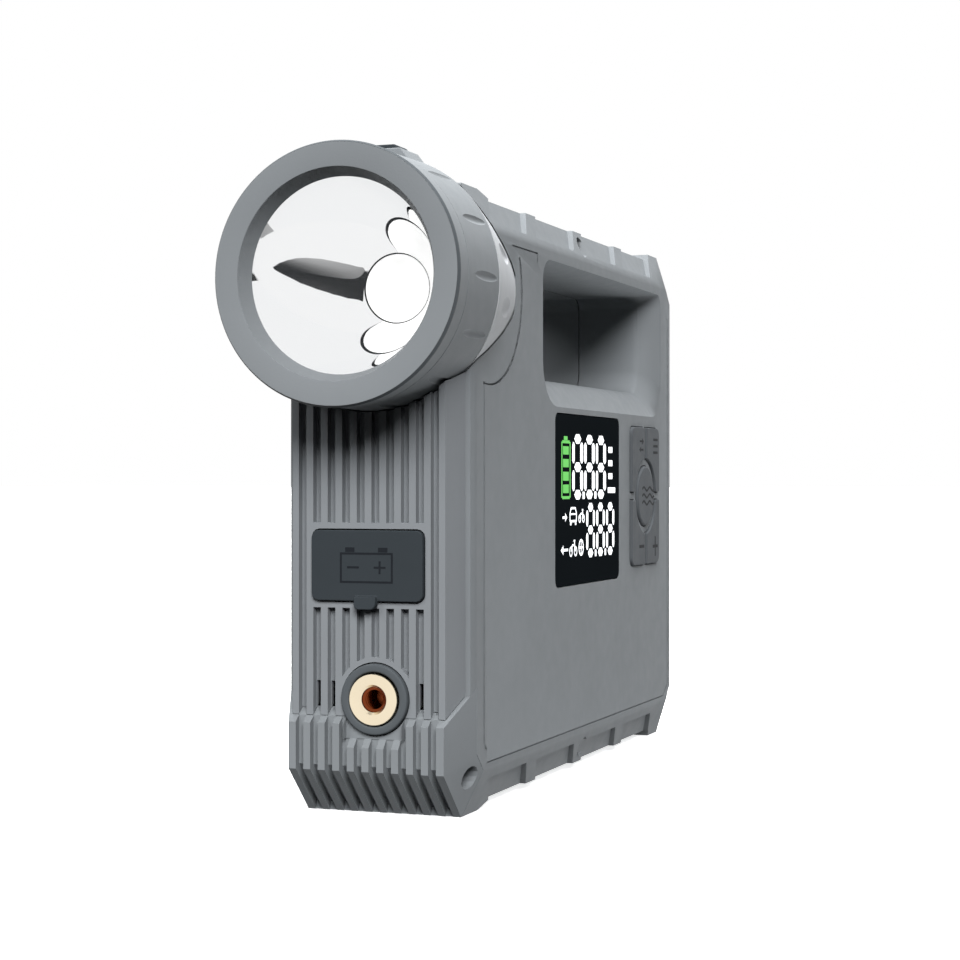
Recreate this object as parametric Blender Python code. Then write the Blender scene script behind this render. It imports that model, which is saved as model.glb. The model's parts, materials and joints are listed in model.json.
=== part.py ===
"""Jump starter pack with a work lamp, a tyre inflator and a display, as an assembly of separate solids.

Frame: +Y runs from the lamp to the rear end, +X towards the display side, +Z up, and the origin is
the bottom centre of the whole object. Sizes below are millimetres; MM turns them into metres.
DEPTH means the distance behind the flat front face of the body.
"""

import math

import bmesh
import bpy

MM = 0.001
GAP = 0.3

# Body envelope: a box whose edges are bevelled and whose eight corners are flat facets.
BODY_LENGTH = 198.2
BODY_HEIGHT = 150.0
SIDE_HALF = 24.0
FACE_HALF = 19.8
# Corner of the envelope, as (x, distance from the end, distance from the bottom or top).
CORNER = ((FACE_HALF, 0.0, 11.2), (SIDE_HALF, 10.8, 15.0), (SIDE_HALF, 15.1, 10.8), (FACE_HALF, 11.4, 0.0))
SHELL_WALL = 2.4
BUMPER_WALL = 4.6

# Lamp, turned about an axis along Y.
LAMP_REACH = 17.8
LAMP_HEIGHT = 126.4
BARREL_RADIUS = 30.45
BARREL_REAR = 8.5
CONE_FRONT = 8.9
CONE_REAR = 38.7
CONE_END_RADIUS = 24.0
LENS_FRONT = -13.4
MIRROR_MOUTH_RADIUS = 23.8
MIRROR_BASE_RADIUS = 8.65
MIRROR_FRONT = -11.3
MIRROR_BASE = 19.7

FRONT = LAMP_REACH - (BODY_LENGTH + LAMP_REACH) / 2
REAR = FRONT + BODY_LENGTH

# Skirt between the bumpers: its plane is raised, and its facet is recessed between three pads.
SKIRT_RISE = 1.7
SKIRT_RAMP = ((22.5, 0.0), (28.8, SKIRT_RISE))
SKIRT_END = 174.9
RECESS_SPAN = (28.4, 174.5)
RECESS_TOP = (21.6, 8.0)
RECESS_FOOT = (18.73, 1.3)
FIRST_PAD = 56.6
PAD_PITCH = 40.0
PAD_LENGTH = 7.8
PAD_COUNT = 3

# Ribbed end panels and front bumper.
PANEL_INSET = (0.4, 1.8, 1.2)
PANEL_WALL = 3.2
PANEL_DEPTH = 8.3
BUMPER_TOP_FRONT = 22.3
BUMPER_TOP_SIDE = 30.6
RIB_PITCH = 3.75
RIB_FOOT = 1.3
GROOVE_WIDTH = 1.95
GROOVE_DEPTH = 2.0
GROOVE_COUNT = 10
SHORT_RIBS = (-5.5, 9.3)
SHORT_RIB_TOP = (16.8, 18.8)
VENTS = (1, 2, 8)
VENT_WIDTH = 1.75
VENT_SPAN = (24.9, 32.0)

# Jump lead socket behind its rubber cover.
COVER_HALF = 14.2
COVER_BOTTOM = 51.2
COVER_TOP = 67.9
COVER_FRONT = 0.8
COVER_THICK = 2.4
COVER_CORNER = 1.7
FRAME_BOTTOM = 49.5
FRAME_TOP = 69.6
# Half-width, bottom and top of the cover over the rear ports.
PORT_COVER = (9.5, 42.0, 72.0)

# Air outlet, on the middle rib.
OUTLET_X = 1.9
OUTLET_Z = 28.2
BOSS_RADIUS = 9.9
RING_RADIUS = 8.4
FITTING_RADIUS = 6.1

# Handle opening through the body.
MOUTH = (60.2, 176.4, 99.0, 137.1)
MOUTH_RADII = (12.0, 10.0, 4.0, 6.0)
THROAT = (65.0, 168.1, 106.4, 135.8)
THROAT_RADII = (7.0, 7.0, 4.0, 4.0)
THROAT_HALF = 17.0
FLARE_STEPS = 4

# Display and keys on the +X side.
OPENING_FLOOR = 19.0
WINDOW = (70.7, 130.2, 51.5, 97.2)
WINDOW_RADIUS = 2.0
KEY_CENTRE = (156.9, 74.9)
KEY_HALF = (15.1, 20.6)
KEY_GAP = 1.2
KEY_ARC = 11.3
KEY_ROUND = 9.0
KEY_PROUD = 0.8
KEY_BACK = 20.2
KEY_TRAVEL = 0.6

# Inflator: motor, gear train, crank and cylinder.
PLATE_DEPTH = 59.0
PLATE_THICK = 3.0
GEAR_DEPTH = 52.0
GEAR_WIDTH = 5.0
GEAR_MODULE = 0.96
GEAR_TEETH = 40
PINION_TEETH = 10
GEAR_Z = 51.0
GEAR_PLAY = 0.3
CRANK_THROW = 5.0
CYLINDER_DEPTH = 43.0
CYLINDER_BOTTOM = 12.0
CYLINDER_TOP = 30.0
BORE_RADIUS = 8.2
MOTOR_RADIUS = 13.3
MOTOR_LENGTH = 44.0

# Screws that clamp the two shells, as (depth, height), and their sizes.
SCREW_SITES = {
    "shell_screw_front_bottom": (10.4, 9.6),
    "shell_screw_rear_bottom": (188.2, 9.0),
    "shell_screw_rear_top": (188.2, 141.0),
    "shell_screw_middle_bottom": (99.6, 6.0),
    "shell_screw_middle_top": (99.6, 144.0),
}
SCREW_HEAD_RADIUS = 2.4
SCREW_SHAFT_RADIUS = 1.1
SCREW_BORE_RADIUS = 2.85
SCREW_SEAT = 14.0
BOSS_COLUMN_RADIUS = 3.9

GREY = (0.230, 0.242, 0.255, 1.0)
DARK_GREY = (0.128, 0.137, 0.146, 1.0)
LIGHT_GREY = (0.52, 0.54, 0.56, 1.0)
RUBBER = (0.056, 0.063, 0.071, 1.0)
BLACK = (0.012, 0.014, 0.016, 1.0)
CHROME = (0.90, 0.91, 0.92, 1.0)
ALUMINIUM = (0.70, 0.71, 0.72, 1.0)
BRASS = (0.92, 0.72, 0.48, 1.0)
STEEL = (0.50, 0.51, 0.52, 1.0)
BOARD_GREEN = (0.02, 0.16, 0.07, 1.0)
WHITE = (0.85, 0.86, 0.86, 1.0)
CLEAR = (0.86, 0.90, 0.92, 1.0)
LED_YELLOW = (0.95, 0.80, 0.22, 1.0)
CELL_BLUE = (0.10, 0.22, 0.48, 1.0)
NYLON = (0.78, 0.76, 0.70, 1.0)


# ---------------------------------------------------------------- building blocks


def clear_scene():
    for obj in list(bpy.data.objects):
        bpy.data.objects.remove(obj, do_unlink=True)


def principled(name, colour, roughness, metallic):
    material = bpy.data.materials.new(name)
    material.use_nodes = True
    shader = material.node_tree.nodes["Principled BSDF"]
    shader.inputs["Base Color"].default_value = colour
    shader.inputs["Roughness"].default_value = roughness
    shader.inputs["Metallic"].default_value = metallic
    return material


def add_object(name, bm, pivot=(0.0, 0.0, 0.0)):
    """Turns a bmesh drawn in millimetres into an object whose origin is at pivot."""
    bmesh.ops.recalc_face_normals(bm, faces=bm.faces)
    bmesh.ops.translate(bm, verts=bm.verts, vec=[-value for value in pivot])
    bmesh.ops.scale(bm, verts=bm.verts, vec=(MM, MM, MM))
    mesh = bpy.data.meshes.new(name)
    bm.to_mesh(mesh)
    bm.free()
    obj = bpy.data.objects.new(name, mesh)
    obj.location = [value * MM for value in pivot]
    bpy.context.scene.collection.objects.link(obj)
    return obj


def finish(obj, colour, roughness=0.5, metallic=0.0, smooth=False):
    obj.data.materials.append(principled(obj.name + "_finish", colour, roughness, metallic))
    if smooth:
        obj.data.shade_smooth()
        obj.data.set_sharp_from_angle(angle=math.radians(35))
    return obj


def helper(obj):
    obj.hide_render = True
    obj.display_type = "WIRE"
    return obj


def boolean(obj, operation, other):
    helper(other)
    modifier = obj.modifiers.new(other.name, "BOOLEAN")
    modifier.operation = operation
    modifier.object = other
    return obj


def cut(obj, *cutters):
    for cutter in cutters:
        boolean(obj, "DIFFERENCE", cutter)
    return obj


def keep_inside(obj, zone):
    return boolean(obj, "INTERSECT", zone)


def add_to(obj, other):
    return boolean(obj, "UNION", other)


def hull(name, points, pivot=(0.0, 0.0, 0.0)):
    bm = bmesh.new()
    for point in points:
        bm.verts.new(point)
    result = bmesh.ops.convex_hull(bm, input=bm.verts)
    loose = [item for item in result["geom_interior"] if isinstance(item, bmesh.types.BMVert)]
    bmesh.ops.delete(bm, geom=loose, context="VERTS")
    bmesh.ops.dissolve_limit(bm, angle_limit=math.radians(0.5), verts=bm.verts, edges=bm.edges)
    return add_object(name, bm, pivot)


def add_prism(bm, outline, axis, low, high):
    """Adds the closed outline, swept along X (outline in y, z), Y (x, z) or Z (x, y)."""
    place = {
        "X": lambda a, b, along: (along, a, b),
        "Y": lambda a, b, along: (a, along, b),
        "Z": lambda a, b, along: (a, b, along),
    }[axis]
    near = [bm.verts.new(place(a, b, low)) for a, b in outline]
    far = [bm.verts.new(place(a, b, high)) for a, b in outline]
    bm.faces.new(near)
    bm.faces.new(reversed(far))
    for index in range(len(outline)):
        after = (index + 1) % len(outline)
        bm.faces.new((near[index], far[index], far[after], near[after]))


def prism(name, outline, axis, low, high, pivot=(0.0, 0.0, 0.0)):
    bm = bmesh.new()
    add_prism(bm, outline, axis, low, high)
    return add_object(name, bm, pivot)


def rectangle(low_a, high_a, low_b, high_b):
    return [(low_a, low_b), (high_a, low_b), (high_a, high_b), (low_a, high_b)]


def block(name, x, y, z, pivot=(0.0, 0.0, 0.0)):
    return prism(name, rectangle(*y, *z), "X", x[0], x[1], pivot)


def arc(centre, radius, start, end, steps):
    """Points from angle start to angle end, in degrees, both included."""
    angles = [math.radians(start + (end - start) * index / steps) for index in range(steps + 1)]
    return [(centre[0] + radius * math.cos(a), centre[1] + radius * math.sin(a)) for a in angles]


def circle(centre, radius, segments):
    return arc(centre, radius, 0.0, 360.0, segments)[:-1]


def rounded_rectangle(low_a, high_a, low_b, high_b, radii, steps=6):
    """Outline with corner radii in the order low-low, high-low, high-high, low-high."""
    corners = ((low_a, low_b, 180.0), (high_a, low_b, 270.0), (high_a, high_b, 0.0), (low_a, high_b, 90.0))
    points = []
    for (a, b, start), radius in zip(corners, radii):
        centre = (a + radius if a == low_a else a - radius, b + radius if b == low_b else b - radius)
        points += arc(centre, radius, start, start + 90.0, steps)
    return points


def loft(name, sections):
    """Joins rings of equal length, given as (x, outline in y and z), with flat caps."""
    bm = bmesh.new()
    rings = [[bm.verts.new((x, y, z)) for y, z in outline] for x, outline in sections]
    for ring, following in zip(rings, rings[1:]):
        for index in range(len(ring)):
            after = (index + 1) % len(ring)
            bm.faces.new((ring[index], ring[after], following[after], following[index]))
    bm.faces.new(rings[0])
    bm.faces.new(reversed(rings[-1]))
    return add_object(name, bm)


def turned(name, profile, axis, centre, segments=48, pivot=None):
    """Turns a closed profile of (radius, distance along the axis); points of radius 0 are poles."""
    bm = bmesh.new()
    rings = []
    for radius, along in profile:
        count = segments if radius > 0.0 else 1
        ring = []
        for a, b in circle((0.0, 0.0), radius, segments)[:count]:
            offset = {"X": (along, a, b), "Y": (a, along, b), "Z": (a, b, along)}[axis]
            ring.append(bm.verts.new([value + base for value, base in zip(offset, centre)]))
        rings.append(ring)
    for index, ring in enumerate(rings):
        following = rings[(index + 1) % len(rings)]
        if len(ring) == 1 and len(following) == 1:
            continue
        for step in range(segments):
            after = (step + 1) % segments
            corners = [ring[step % len(ring)], ring[after % len(ring)]]
            corners += [following[after % len(following)], following[step % len(following)]]
            bm.faces.new(list(dict.fromkeys(corners)))
    return add_object(name, bm, centre if pivot is None else pivot)


def disc(name, radius, low, high, axis, centre, segments=24, pivot=None):
    return turned(name, ((0, low), (radius, low), (radius, high), (0, high)), axis, centre, segments, pivot)


def ring_solid(name, inner, outer, low, high, axis, centre, segments=32):
    profile = ((inner, low), (outer, low), (outer, high), (inner, high))
    return turned(name, profile, axis, centre, segments)


# ---------------------------------------------------------------- envelope and shared cutters


def deeper(insets, wall):
    return [value + wall for value in insets]


def envelope(name, insets=(0.0, 0.0, 0.0)):
    """The body's outer form, drawn in by insets along x, y and z."""
    half = (SIDE_HALF, BODY_LENGTH / 2, BODY_HEIGHT / 2)
    scale = [(size - inset) / size for size, inset in zip(half, insets)]
    points = []
    for x, end, edge in CORNER:
        for side in (-1, 1):
            for along in (-1, 1):
                for up in (-1, 1):
                    point_y = FRONT + half[1] + along * (half[1] - end) * scale[1]
                    point_z = half[2] + up * (half[2] - edge) * scale[2]
                    points.append((side * x * scale[0], point_y, point_z))
    return hull(name, points)


def lamp_point(depth=0.0):
    return (0.0, FRONT + depth, LAMP_HEIGHT)


def lamp_cutter():
    """Room for the lamp in the body, one gap larger than the barrel and the cone."""
    profile = (
        (0, -5),
        (BARREL_RADIUS + GAP, -5),
        (BARREL_RADIUS + GAP, CONE_FRONT),
        (CONE_END_RADIUS + GAP, CONE_REAR + GAP),
        (0, CONE_REAR + GAP),
    )
    return turned("cutter_lamp_seat", profile, "Y", lamp_point(), 44)


def handle_sections(grow):
    """Rings of the handle opening from one side to the other, widened all round by grow."""

    def ring(flare):
        limits = [inner + (outer - inner) * flare for inner, outer in zip(THROAT, MOUTH)]
        radii = [inner + (outer - inner) * flare + grow for inner, outer in zip(THROAT_RADII, MOUTH_RADII)]
        low_y, high_y = FRONT + limits[0] - grow, FRONT + limits[1] + grow
        return rounded_rectangle(low_y, high_y, limits[2] - grow, limits[3] + grow, radii)

    sections = []
    for step in range(FLARE_STEPS + 1):
        share = step / FLARE_STEPS
        sections.append((THROAT_HALF + (SIDE_HALF - THROAT_HALF) * share, ring(share**2)))
    sections.append((SIDE_HALF + 3.0, ring(1.0)))
    return [(-x, outline) for x, outline in reversed(sections)] + sections


def add_skirt_solid(name, outline, axis, low, high, lean, place):
    """A prism at the bottom or the top; lean is how far its depth grows per step towards that edge."""
    bm = bmesh.new()
    add_prism(bm, outline, axis, low, high)
    for vert in bm.verts:
        vert.co.y += FRONT + lean * (SKIRT_RISE - vert.co.z)
        if place == "top":
            vert.co.z = BODY_HEIGHT - vert.co.z
    return add_object(name, bm)


def skirt_cutters():
    """Cutters for the skirt, at the bottom and at the top, with the pads left standing."""
    wide = SIDE_HALF + 16.0
    recess = [(wide, -5.0), (wide, RECESS_TOP[1]), RECESS_TOP, RECESS_FOOT]
    recess += [(-a, b) for a, b in reversed(recess)]
    pad = rectangle(-wide - 5.0, wide + 5.0, -10.0, RECESS_TOP[1] + 4.0)
    (ramp_start, _), (ramp_end, _) = SKIRT_RAMP
    below = 2.0
    reach = below * (ramp_end - ramp_start) / SKIRT_RISE
    plane = [
        (ramp_start - reach, -below),
        (ramp_end, SKIRT_RISE),
        (SKIRT_END, SKIRT_RISE),
        (SKIRT_END + SKIRT_RISE + below, -below),
    ]
    for place in ("bottom", "top"):
        cutter = add_skirt_solid("cutter_skirt_" + place, recess, "Y", *RECESS_SPAN, 1.0, place)
        for index in range(PAD_COUNT):
            start = FIRST_PAD + PAD_PITCH * index
            name = "pad_%s_%d" % (place, index)
            cut(cutter, add_skirt_solid(name, pad, "Y", start, start + PAD_LENGTH, 1.0, place))
        add_to(cutter, add_skirt_solid("plane_" + place, plane, "X", 2.0 - wide, wide - 2.0, 0.0, place))
        yield cutter


def bumper_zone(name, grow):
    """The region of the front bumper, whose rear edge follows the edges of the envelope."""
    slope = (BUMPER_TOP_SIDE - BUMPER_TOP_FRONT) / CORNER[1][1]
    outline = [
        (-12.0, -6.0),
        (CORNER[3][1] - 2.0 + grow, -6.0),
        (CORNER[3][1] + grow, 0.0),
        (CORNER[2][1] + grow, CORNER[2][2]),
        (CORNER[1][1] + grow, CORNER[1][2]),
        (CORNER[1][1] + grow, BUMPER_TOP_SIDE + grow),
        (-12.0, BUMPER_TOP_FRONT - 12.0 * slope + grow),
    ]
    return prism(name, [(FRONT + a, b) for a, b in outline], "X", -40.0, 40.0)


def front_zone(name, depth, lift):
    """The region in front of a depth and above the bumper."""
    slope = (BUMPER_TOP_SIDE - BUMPER_TOP_FRONT) / CORNER[1][1]
    outline = [
        (-12.0, BUMPER_TOP_FRONT - 12.0 * slope + lift),
        (depth, BUMPER_TOP_FRONT + depth * slope + lift),
        (depth, BODY_HEIGHT + 5.0),
        (-12.0, BODY_HEIGHT + 5.0),
    ]
    return prism(name, [(FRONT + a, b) for a, b in outline], "X", -40.0, 40.0)


def rear_zone(name, depth, grow):
    """The region of the rear panel, measured from the rear end."""
    slope = (BUMPER_TOP_SIDE - BUMPER_TOP_FRONT) / CORNER[1][1]
    low_front = BUMPER_TOP_FRONT - 12.0 * slope - grow
    low_back = BUMPER_TOP_FRONT + depth * slope - grow
    outline = [
        (-12.0, low_front),
        (depth, low_back),
        (depth, BODY_HEIGHT - low_back),
        (-12.0, BODY_HEIGHT - low_front),
    ]
    return prism(name, [(REAR - a, b) for a, b in outline], "X", -40.0, 40.0)


def groove_centres():
    first = -RIB_PITCH * (GROOVE_COUNT - 1) / 2
    return [first + RIB_PITCH * index for index in range(GROOVE_COUNT)]


def key_outlines(grow):
    """Outlines (y, z) of the four corner keys, as name to points, widened by grow."""
    names = {(-1, 1): "key_unit", (1, 1): "key_mode", (-1, -1): "key_minus", (1, -1): "key_plus"}
    inner = KEY_GAP - grow
    radius = KEY_ARC - grow
    corner = 2.5
    reach = math.sqrt(radius**2 - inner**2)
    first = math.degrees(math.atan2(inner, reach))
    quarter = [(inner + 0.0, KEY_HALF[1] + grow)]
    quarter += [(a, b) for a, b in arc((0.0, 0.0), radius, 90.0 - first, first, 8)]
    quarter += [(KEY_HALF[0] + grow, inner)]
    centre = (KEY_HALF[0] + grow - corner, KEY_HALF[1] + grow - corner)
    quarter += arc(centre, corner, 0.0, 90.0, 4)
    outlines = {}
    for (side, up), name in names.items():
        points = [(FRONT + KEY_CENTRE[0] + side * a, KEY_CENTRE[1] + up * b) for a, b in quarter]
        outlines[name] = points
    return outlines


def key_centre():
    return (0.0, FRONT + KEY_CENTRE[0], KEY_CENTRE[1])


# ---------------------------------------------------------------- casing


def body_cavity():
    """The hollow inside the shells: it leaves the handle tube and the screw columns standing."""
    cavity = envelope("cutter_cavity", deeper((0.0, 0.0, 0.0), SHELL_WALL))
    cut(cavity, loft("cutter_handle_tube", handle_sections(SHELL_WALL)))
    for name, (depth, height) in SCREW_SITES.items():
        column = disc("column_" + name, BOSS_COLUMN_RADIUS, -40, 40, "X", (0, FRONT + depth, height), 14)
        cut(cavity, column)
    return cavity


def screw_bores():
    for name, (depth, height) in SCREW_SITES.items():
        reach = SIDE_HALF + 6.0
        profile = (
            (0, -SCREW_SEAT),
            (SCREW_SHAFT_RADIUS + GAP, -SCREW_SEAT),
            (SCREW_SHAFT_RADIUS + GAP, SCREW_SEAT),
            (SCREW_BORE_RADIUS, SCREW_SEAT),
            (SCREW_BORE_RADIUS, reach),
            (0, reach),
        )
        yield turned("cutter_" + name, profile, "X", (0, FRONT + depth, height), 14)


def shell_cutters():
    """Everything that is taken away from both shells."""
    yield body_cavity()
    yield loft("cutter_handle", handle_sections(0.0))
    yield lamp_cutter()
    yield from skirt_cutters()
    yield bumper_zone("cutter_bumper", GAP)
    yield front_zone("cutter_front", PANEL_DEPTH + GAP, -1.0)
    yield rear_zone("cutter_rear", PANEL_DEPTH + GAP, GAP)


def side_openings():
    """Openings of the +X shell for the window and the keys."""
    low_y, high_y, low_z, high_z = WINDOW
    limits = (FRONT + low_y - GAP, FRONT + high_y + GAP, low_z - GAP, high_z + GAP)
    outline = rounded_rectangle(*limits, [WINDOW_RADIUS + GAP] * 4, 4)
    yield prism("cutter_window", outline, "X", OPENING_FLOOR + 0.6, SIDE_HALF + 4.0)
    for name, points in key_outlines(GAP).items():
        yield prism("cutter_" + name, points, "X", OPENING_FLOOR, SIDE_HALF + 4.0)
    yield disc("cutter_key_air", KEY_ROUND + GAP, OPENING_FLOOR, SIDE_HALF + 4.0, "X", key_centre(), 36)


def shells(bores):
    cutters = list(shell_cutters())
    for name, side in (("left_shell", -1), ("right_shell", 1)):
        shell = envelope(name)
        inner, outer = side * GAP / 2, side * (SIDE_HALF + 10.0)
        near, far = min(inner, outer), max(inner, outer)
        half = block("zone_" + name, (near, far), (FRONT - 20, REAR + 20), (-10, BODY_HEIGHT + 10))
        keep_inside(shell, half)
        cut(shell, *cutters, *bores)
        if side > 0:
            cut(shell, *side_openings())
        finish(shell, GREY, 0.55)


def groove_cutter(name, spans, end, low_depth):
    """Vertical grooves at one end: spans lists (groove, low z, high z)."""
    bm = bmesh.new()
    centres = groove_centres()
    outside = 12.0
    for index, low, high in spans:
        x = centres[index]
        outline = rectangle(x - GROOVE_WIDTH / 2, x + GROOVE_WIDTH / 2, low, high)
        faces = (FRONT - outside, FRONT + low_depth) if end == "front" else (REAR - low_depth, REAR + outside)
        add_prism(bm, outline, "Y", *faces)
    return add_object(name, bm)


def front_panel():
    panel = envelope("front_panel", PANEL_INSET)
    keep_inside(panel, front_zone("zone_front_panel", PANEL_DEPTH, GAP))
    cut(panel, envelope("cutter_front_panel_inside", deeper(PANEL_INSET, PANEL_WALL)))
    top = LAMP_HEIGHT
    spans = [(index, 10.0, top) for index in (0, GROOVE_COUNT - 1)]
    for index in range(1, GROOVE_COUNT - 1):
        spans += [(index, 10.0, FRAME_BOTTOM), (index, FRAME_TOP, top)]
    grooves = groove_cutter("cutter_front_grooves", spans, "front", PANEL_INSET[1] + GROOVE_DEPTH)
    boss_at = (OUTLET_X, FRONT, OUTLET_Z)
    cut(grooves, disc("boss_front_panel", BOSS_RADIUS, -20.0, 20.0, "Y", boss_at, 40))
    cut(panel, grooves, disc("cutter_outlet", RING_RADIUS + GAP, -6.0, 9.0, "Y", boss_at, 36))
    opening = cover_outline(COVER_HALF, COVER_BOTTOM, COVER_TOP, GAP)
    cut(panel, prism("cutter_socket", opening, "Y", FRONT - 5, FRONT + 12))
    vents = bmesh.new()
    for index in VENTS:
        centre = groove_centres()[index]
        outline = rectangle(centre - VENT_WIDTH / 2, centre + VENT_WIDTH / 2, *VENT_SPAN)
        add_prism(vents, outline, "Y", FRONT - 5, FRONT + 12)
    cut(panel, add_object("cutter_vents", vents), lamp_cutter())
    finish(panel, GREY, 0.55)


def front_bumper(bores):
    bumper = envelope("front_bumper")
    keep_inside(bumper, bumper_zone("zone_bumper", 0.0))
    cut(bumper, envelope("cutter_bumper_inside", deeper((0.0, 0.0, 0.0), BUMPER_WALL)))
    chamfer = CORNER[3][1] + GROOVE_DEPTH * math.sqrt(2.0)
    side_view = [
        (-8.0, -6.0),
        (chamfer - RIB_FOOT, -6.0),
        (chamfer - RIB_FOOT, RIB_FOOT),
        (GROOVE_DEPTH, chamfer - GROOVE_DEPTH),
        (GROOVE_DEPTH, 45.0),
        (-8.0, 45.0),
    ]
    bm = bmesh.new()
    for x in groove_centres():
        outline = [(FRONT + a, b) for a, b in side_view]
        add_prism(bm, outline, "X", x - GROOVE_WIDTH / 2, x + GROOVE_WIDTH / 2)
    grooves = add_object("cutter_bumper_grooves", bm)
    low, high = SHORT_RIB_TOP
    cut(grooves, block("flat_bumper", SHORT_RIBS, (FRONT - 20.0, FRONT + 20.0), (high, 60.0)))
    # The flat above the short ribs lies level with the panel, and their tops slope down to it.
    slope = (high - low) / PANEL_INSET[1]
    flat = [(PANEL_INSET[1], high), (PANEL_INSET[1], 45.0), (-5.0, 45.0), (-5.0, low - 5.0 * slope)]
    flat = [(FRONT + a, b) for a, b in flat]
    cut(bumper, grooves, prism("cutter_short_ribs", flat, "X", SHORT_RIBS[0] + 0.02, SHORT_RIBS[1] - 0.02))
    boss_at = (OUTLET_X, FRONT, OUTLET_Z)
    cut(bumper, disc("cutter_bumper_boss", RING_RADIUS + GAP, -5, 20, "Y", boss_at, 36), *bores)
    finish(bumper, GREY, 0.55)


def rear_panel():
    panel = envelope("rear_panel", PANEL_INSET)
    keep_inside(panel, rear_zone("zone_rear_panel", PANEL_DEPTH, 0.0))
    cut(panel, envelope("cutter_rear_panel_inside", deeper(PANEL_INSET, PANEL_WALL)))
    spans = [(index, 10.0, BODY_HEIGHT - 10.0) for index in (0, 1, GROOVE_COUNT - 2, GROOVE_COUNT - 1)]
    for index in range(2, GROOVE_COUNT - 2):
        spans += [(index, 10.0, 40.0), (index, 76.0, BODY_HEIGHT - 10.0)]
    cut(panel, groove_cutter("cutter_rear_grooves", spans, "rear", PANEL_INSET[1] + GROOVE_DEPTH))
    cut(panel, prism("cutter_ports", cover_outline(*PORT_COVER, GAP), "Y", REAR - 12, REAR + 5))
    finish(panel, GREY, 0.55)


def shell_screws():
    for name, (depth, height) in SCREW_SITES.items():
        head_end = SCREW_SEAT + GAP + 2.2
        profile = (
            (0, -SCREW_SEAT + 1.0),
            (SCREW_SHAFT_RADIUS, -SCREW_SEAT + 1.0),
            (SCREW_SHAFT_RADIUS, SCREW_SEAT + GAP),
            (SCREW_HEAD_RADIUS, SCREW_SEAT + GAP),
            (SCREW_HEAD_RADIUS, head_end),
            (0, head_end),
        )
        finish(turned(name, profile, "X", (0, FRONT + depth, height), 12), STEEL, 0.35, 1.0, True)


# ---------------------------------------------------------------- lamp


def mirror_radius(depth):
    """Radius of the parabolic mirror at a depth."""
    growth = (MIRROR_MOUTH_RADIUS**2 - MIRROR_BASE_RADIUS**2) / (MIRROR_BASE - MIRROR_FRONT)
    return math.sqrt(MIRROR_BASE_RADIUS**2 + growth * (MIRROR_BASE - depth))


def lamp_housing():
    profile = (
        (BARREL_RADIUS, CONE_FRONT),
        (CONE_END_RADIUS, CONE_REAR),
        (4.0, CONE_REAR),
        (4.0, CONE_REAR - 2.4),
        (21.0, CONE_REAR - 2.4),
        (25.4, 16.0),
        (25.4, 2.0),
        (27.1, 2.0),
        (27.1, CONE_FRONT),
    )
    housing = turned("lamp_housing", profile, "Y", lamp_point(), 40)
    hump = [(-9.8, 152.6), (9.8, 152.6), (5.2, 158.8), (-5.2, 158.8)]
    add_to(housing, prism("hump_lamp_housing", hump, "Y", FRONT + CONE_FRONT + 0.2, FRONT + 20.5))
    pocket = rectangle(-3.8, 3.8, FRONT + 10.6, FRONT + 19.0)
    cut(housing, prism("cutter_lamp_key", pocket, "Z", 149.0, 165.0))
    finish(housing, LIGHT_GREY, 0.5, 0.0, True)


def lamp_front():
    barrel = ((30.0, -10.8), (BARREL_RADIUS, BARREL_REAR), (27.4, BARREL_REAR), (27.4, -10.8))
    finish(turned("lamp_barrel", barrel, "Y", lamp_point(), 40), GREY, 0.5, 0.0, True)
    bezel = (
        (24.2, -LAMP_REACH),
        (27.8, -LAMP_REACH),
        (29.0, -17.3),
        (29.8, -16.5),
        (30.0, -15.4),
        (30.0, -11.1),
        (27.1, -11.1),
        (27.1, -5.0),
        (26.0, -5.0),
        (26.0, -13.7),
        (22.5, -13.7),
    )
    finish(turned("lamp_bezel", bezel, "Y", lamp_point(), 40), GREY, 0.5, 0.0, True)
    lens = disc("lamp_lens", 25.7, LENS_FRONT, LENS_FRONT + 1.8, "Y", lamp_point(), 40)
    finish(lens, CLEAR, 0.03, 0.0, True)


def lamp_mirror():
    steps = 5
    depths = [MIRROR_FRONT + (MIRROR_BASE - MIRROR_FRONT) * index / steps for index in range(steps + 1)]
    inner = [(mirror_radius(depth), depth) for depth in depths]
    outer = [(radius + 1.0, depth + 0.4) for radius, depth in reversed(inner[1:])]
    flange = [(24.6, -10.0), (25.6, -10.0), (25.6, MIRROR_FRONT)]
    finish(turned("lamp_mirror", inner + outer + flange, "Y", lamp_point(), 32), CHROME, 0.05, 1.0, True)


def lamp_inside():
    board = disc("led_board", 10.5, 20.5, 22.1, "Y", lamp_point(), 24)
    finish(board, WHITE, 0.4)
    y = FRONT + 19.4
    z = LAMP_HEIGHT
    finish(block("led_chip", (-2.5, 2.5), (y, y + 0.8), (z - 2.5, z + 2.5)), LED_YELLOW, 0.3)
    fins = [(0, 22.4), (14.0, 22.4)]
    for start in (24.4, 28.4):
        fins += [(14.0, start), (9.0, start), (9.0, start + 2.0), (14.0, start + 2.0)]
    fins += [(14.0, 33.4), (0, 33.4)]
    finish(turned("lamp_heat_sink", fins, "Y", lamp_point(), 24), ALUMINIUM, 0.4, 1.0, True)


def lamp_switch():
    y = FRONT + 14.8
    sides = [(-3.5, 156.0), (3.5, 156.0), (3.5, 159.4), (2.9, 160.0), (-2.9, 160.0), (-3.5, 159.4)]
    key = prism("lamp_key", sides, "Y", y - 3.9, y + 3.9, (0, y, 156.0))
    finish(key, RUBBER, 0.6)
    finish(block("lamp_switch", (-3.0, 3.0), (y - 3.0, y + 3.0), (152.6, 154.8)), BLACK, 0.5)


# ---------------------------------------------------------------- display and keys


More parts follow.
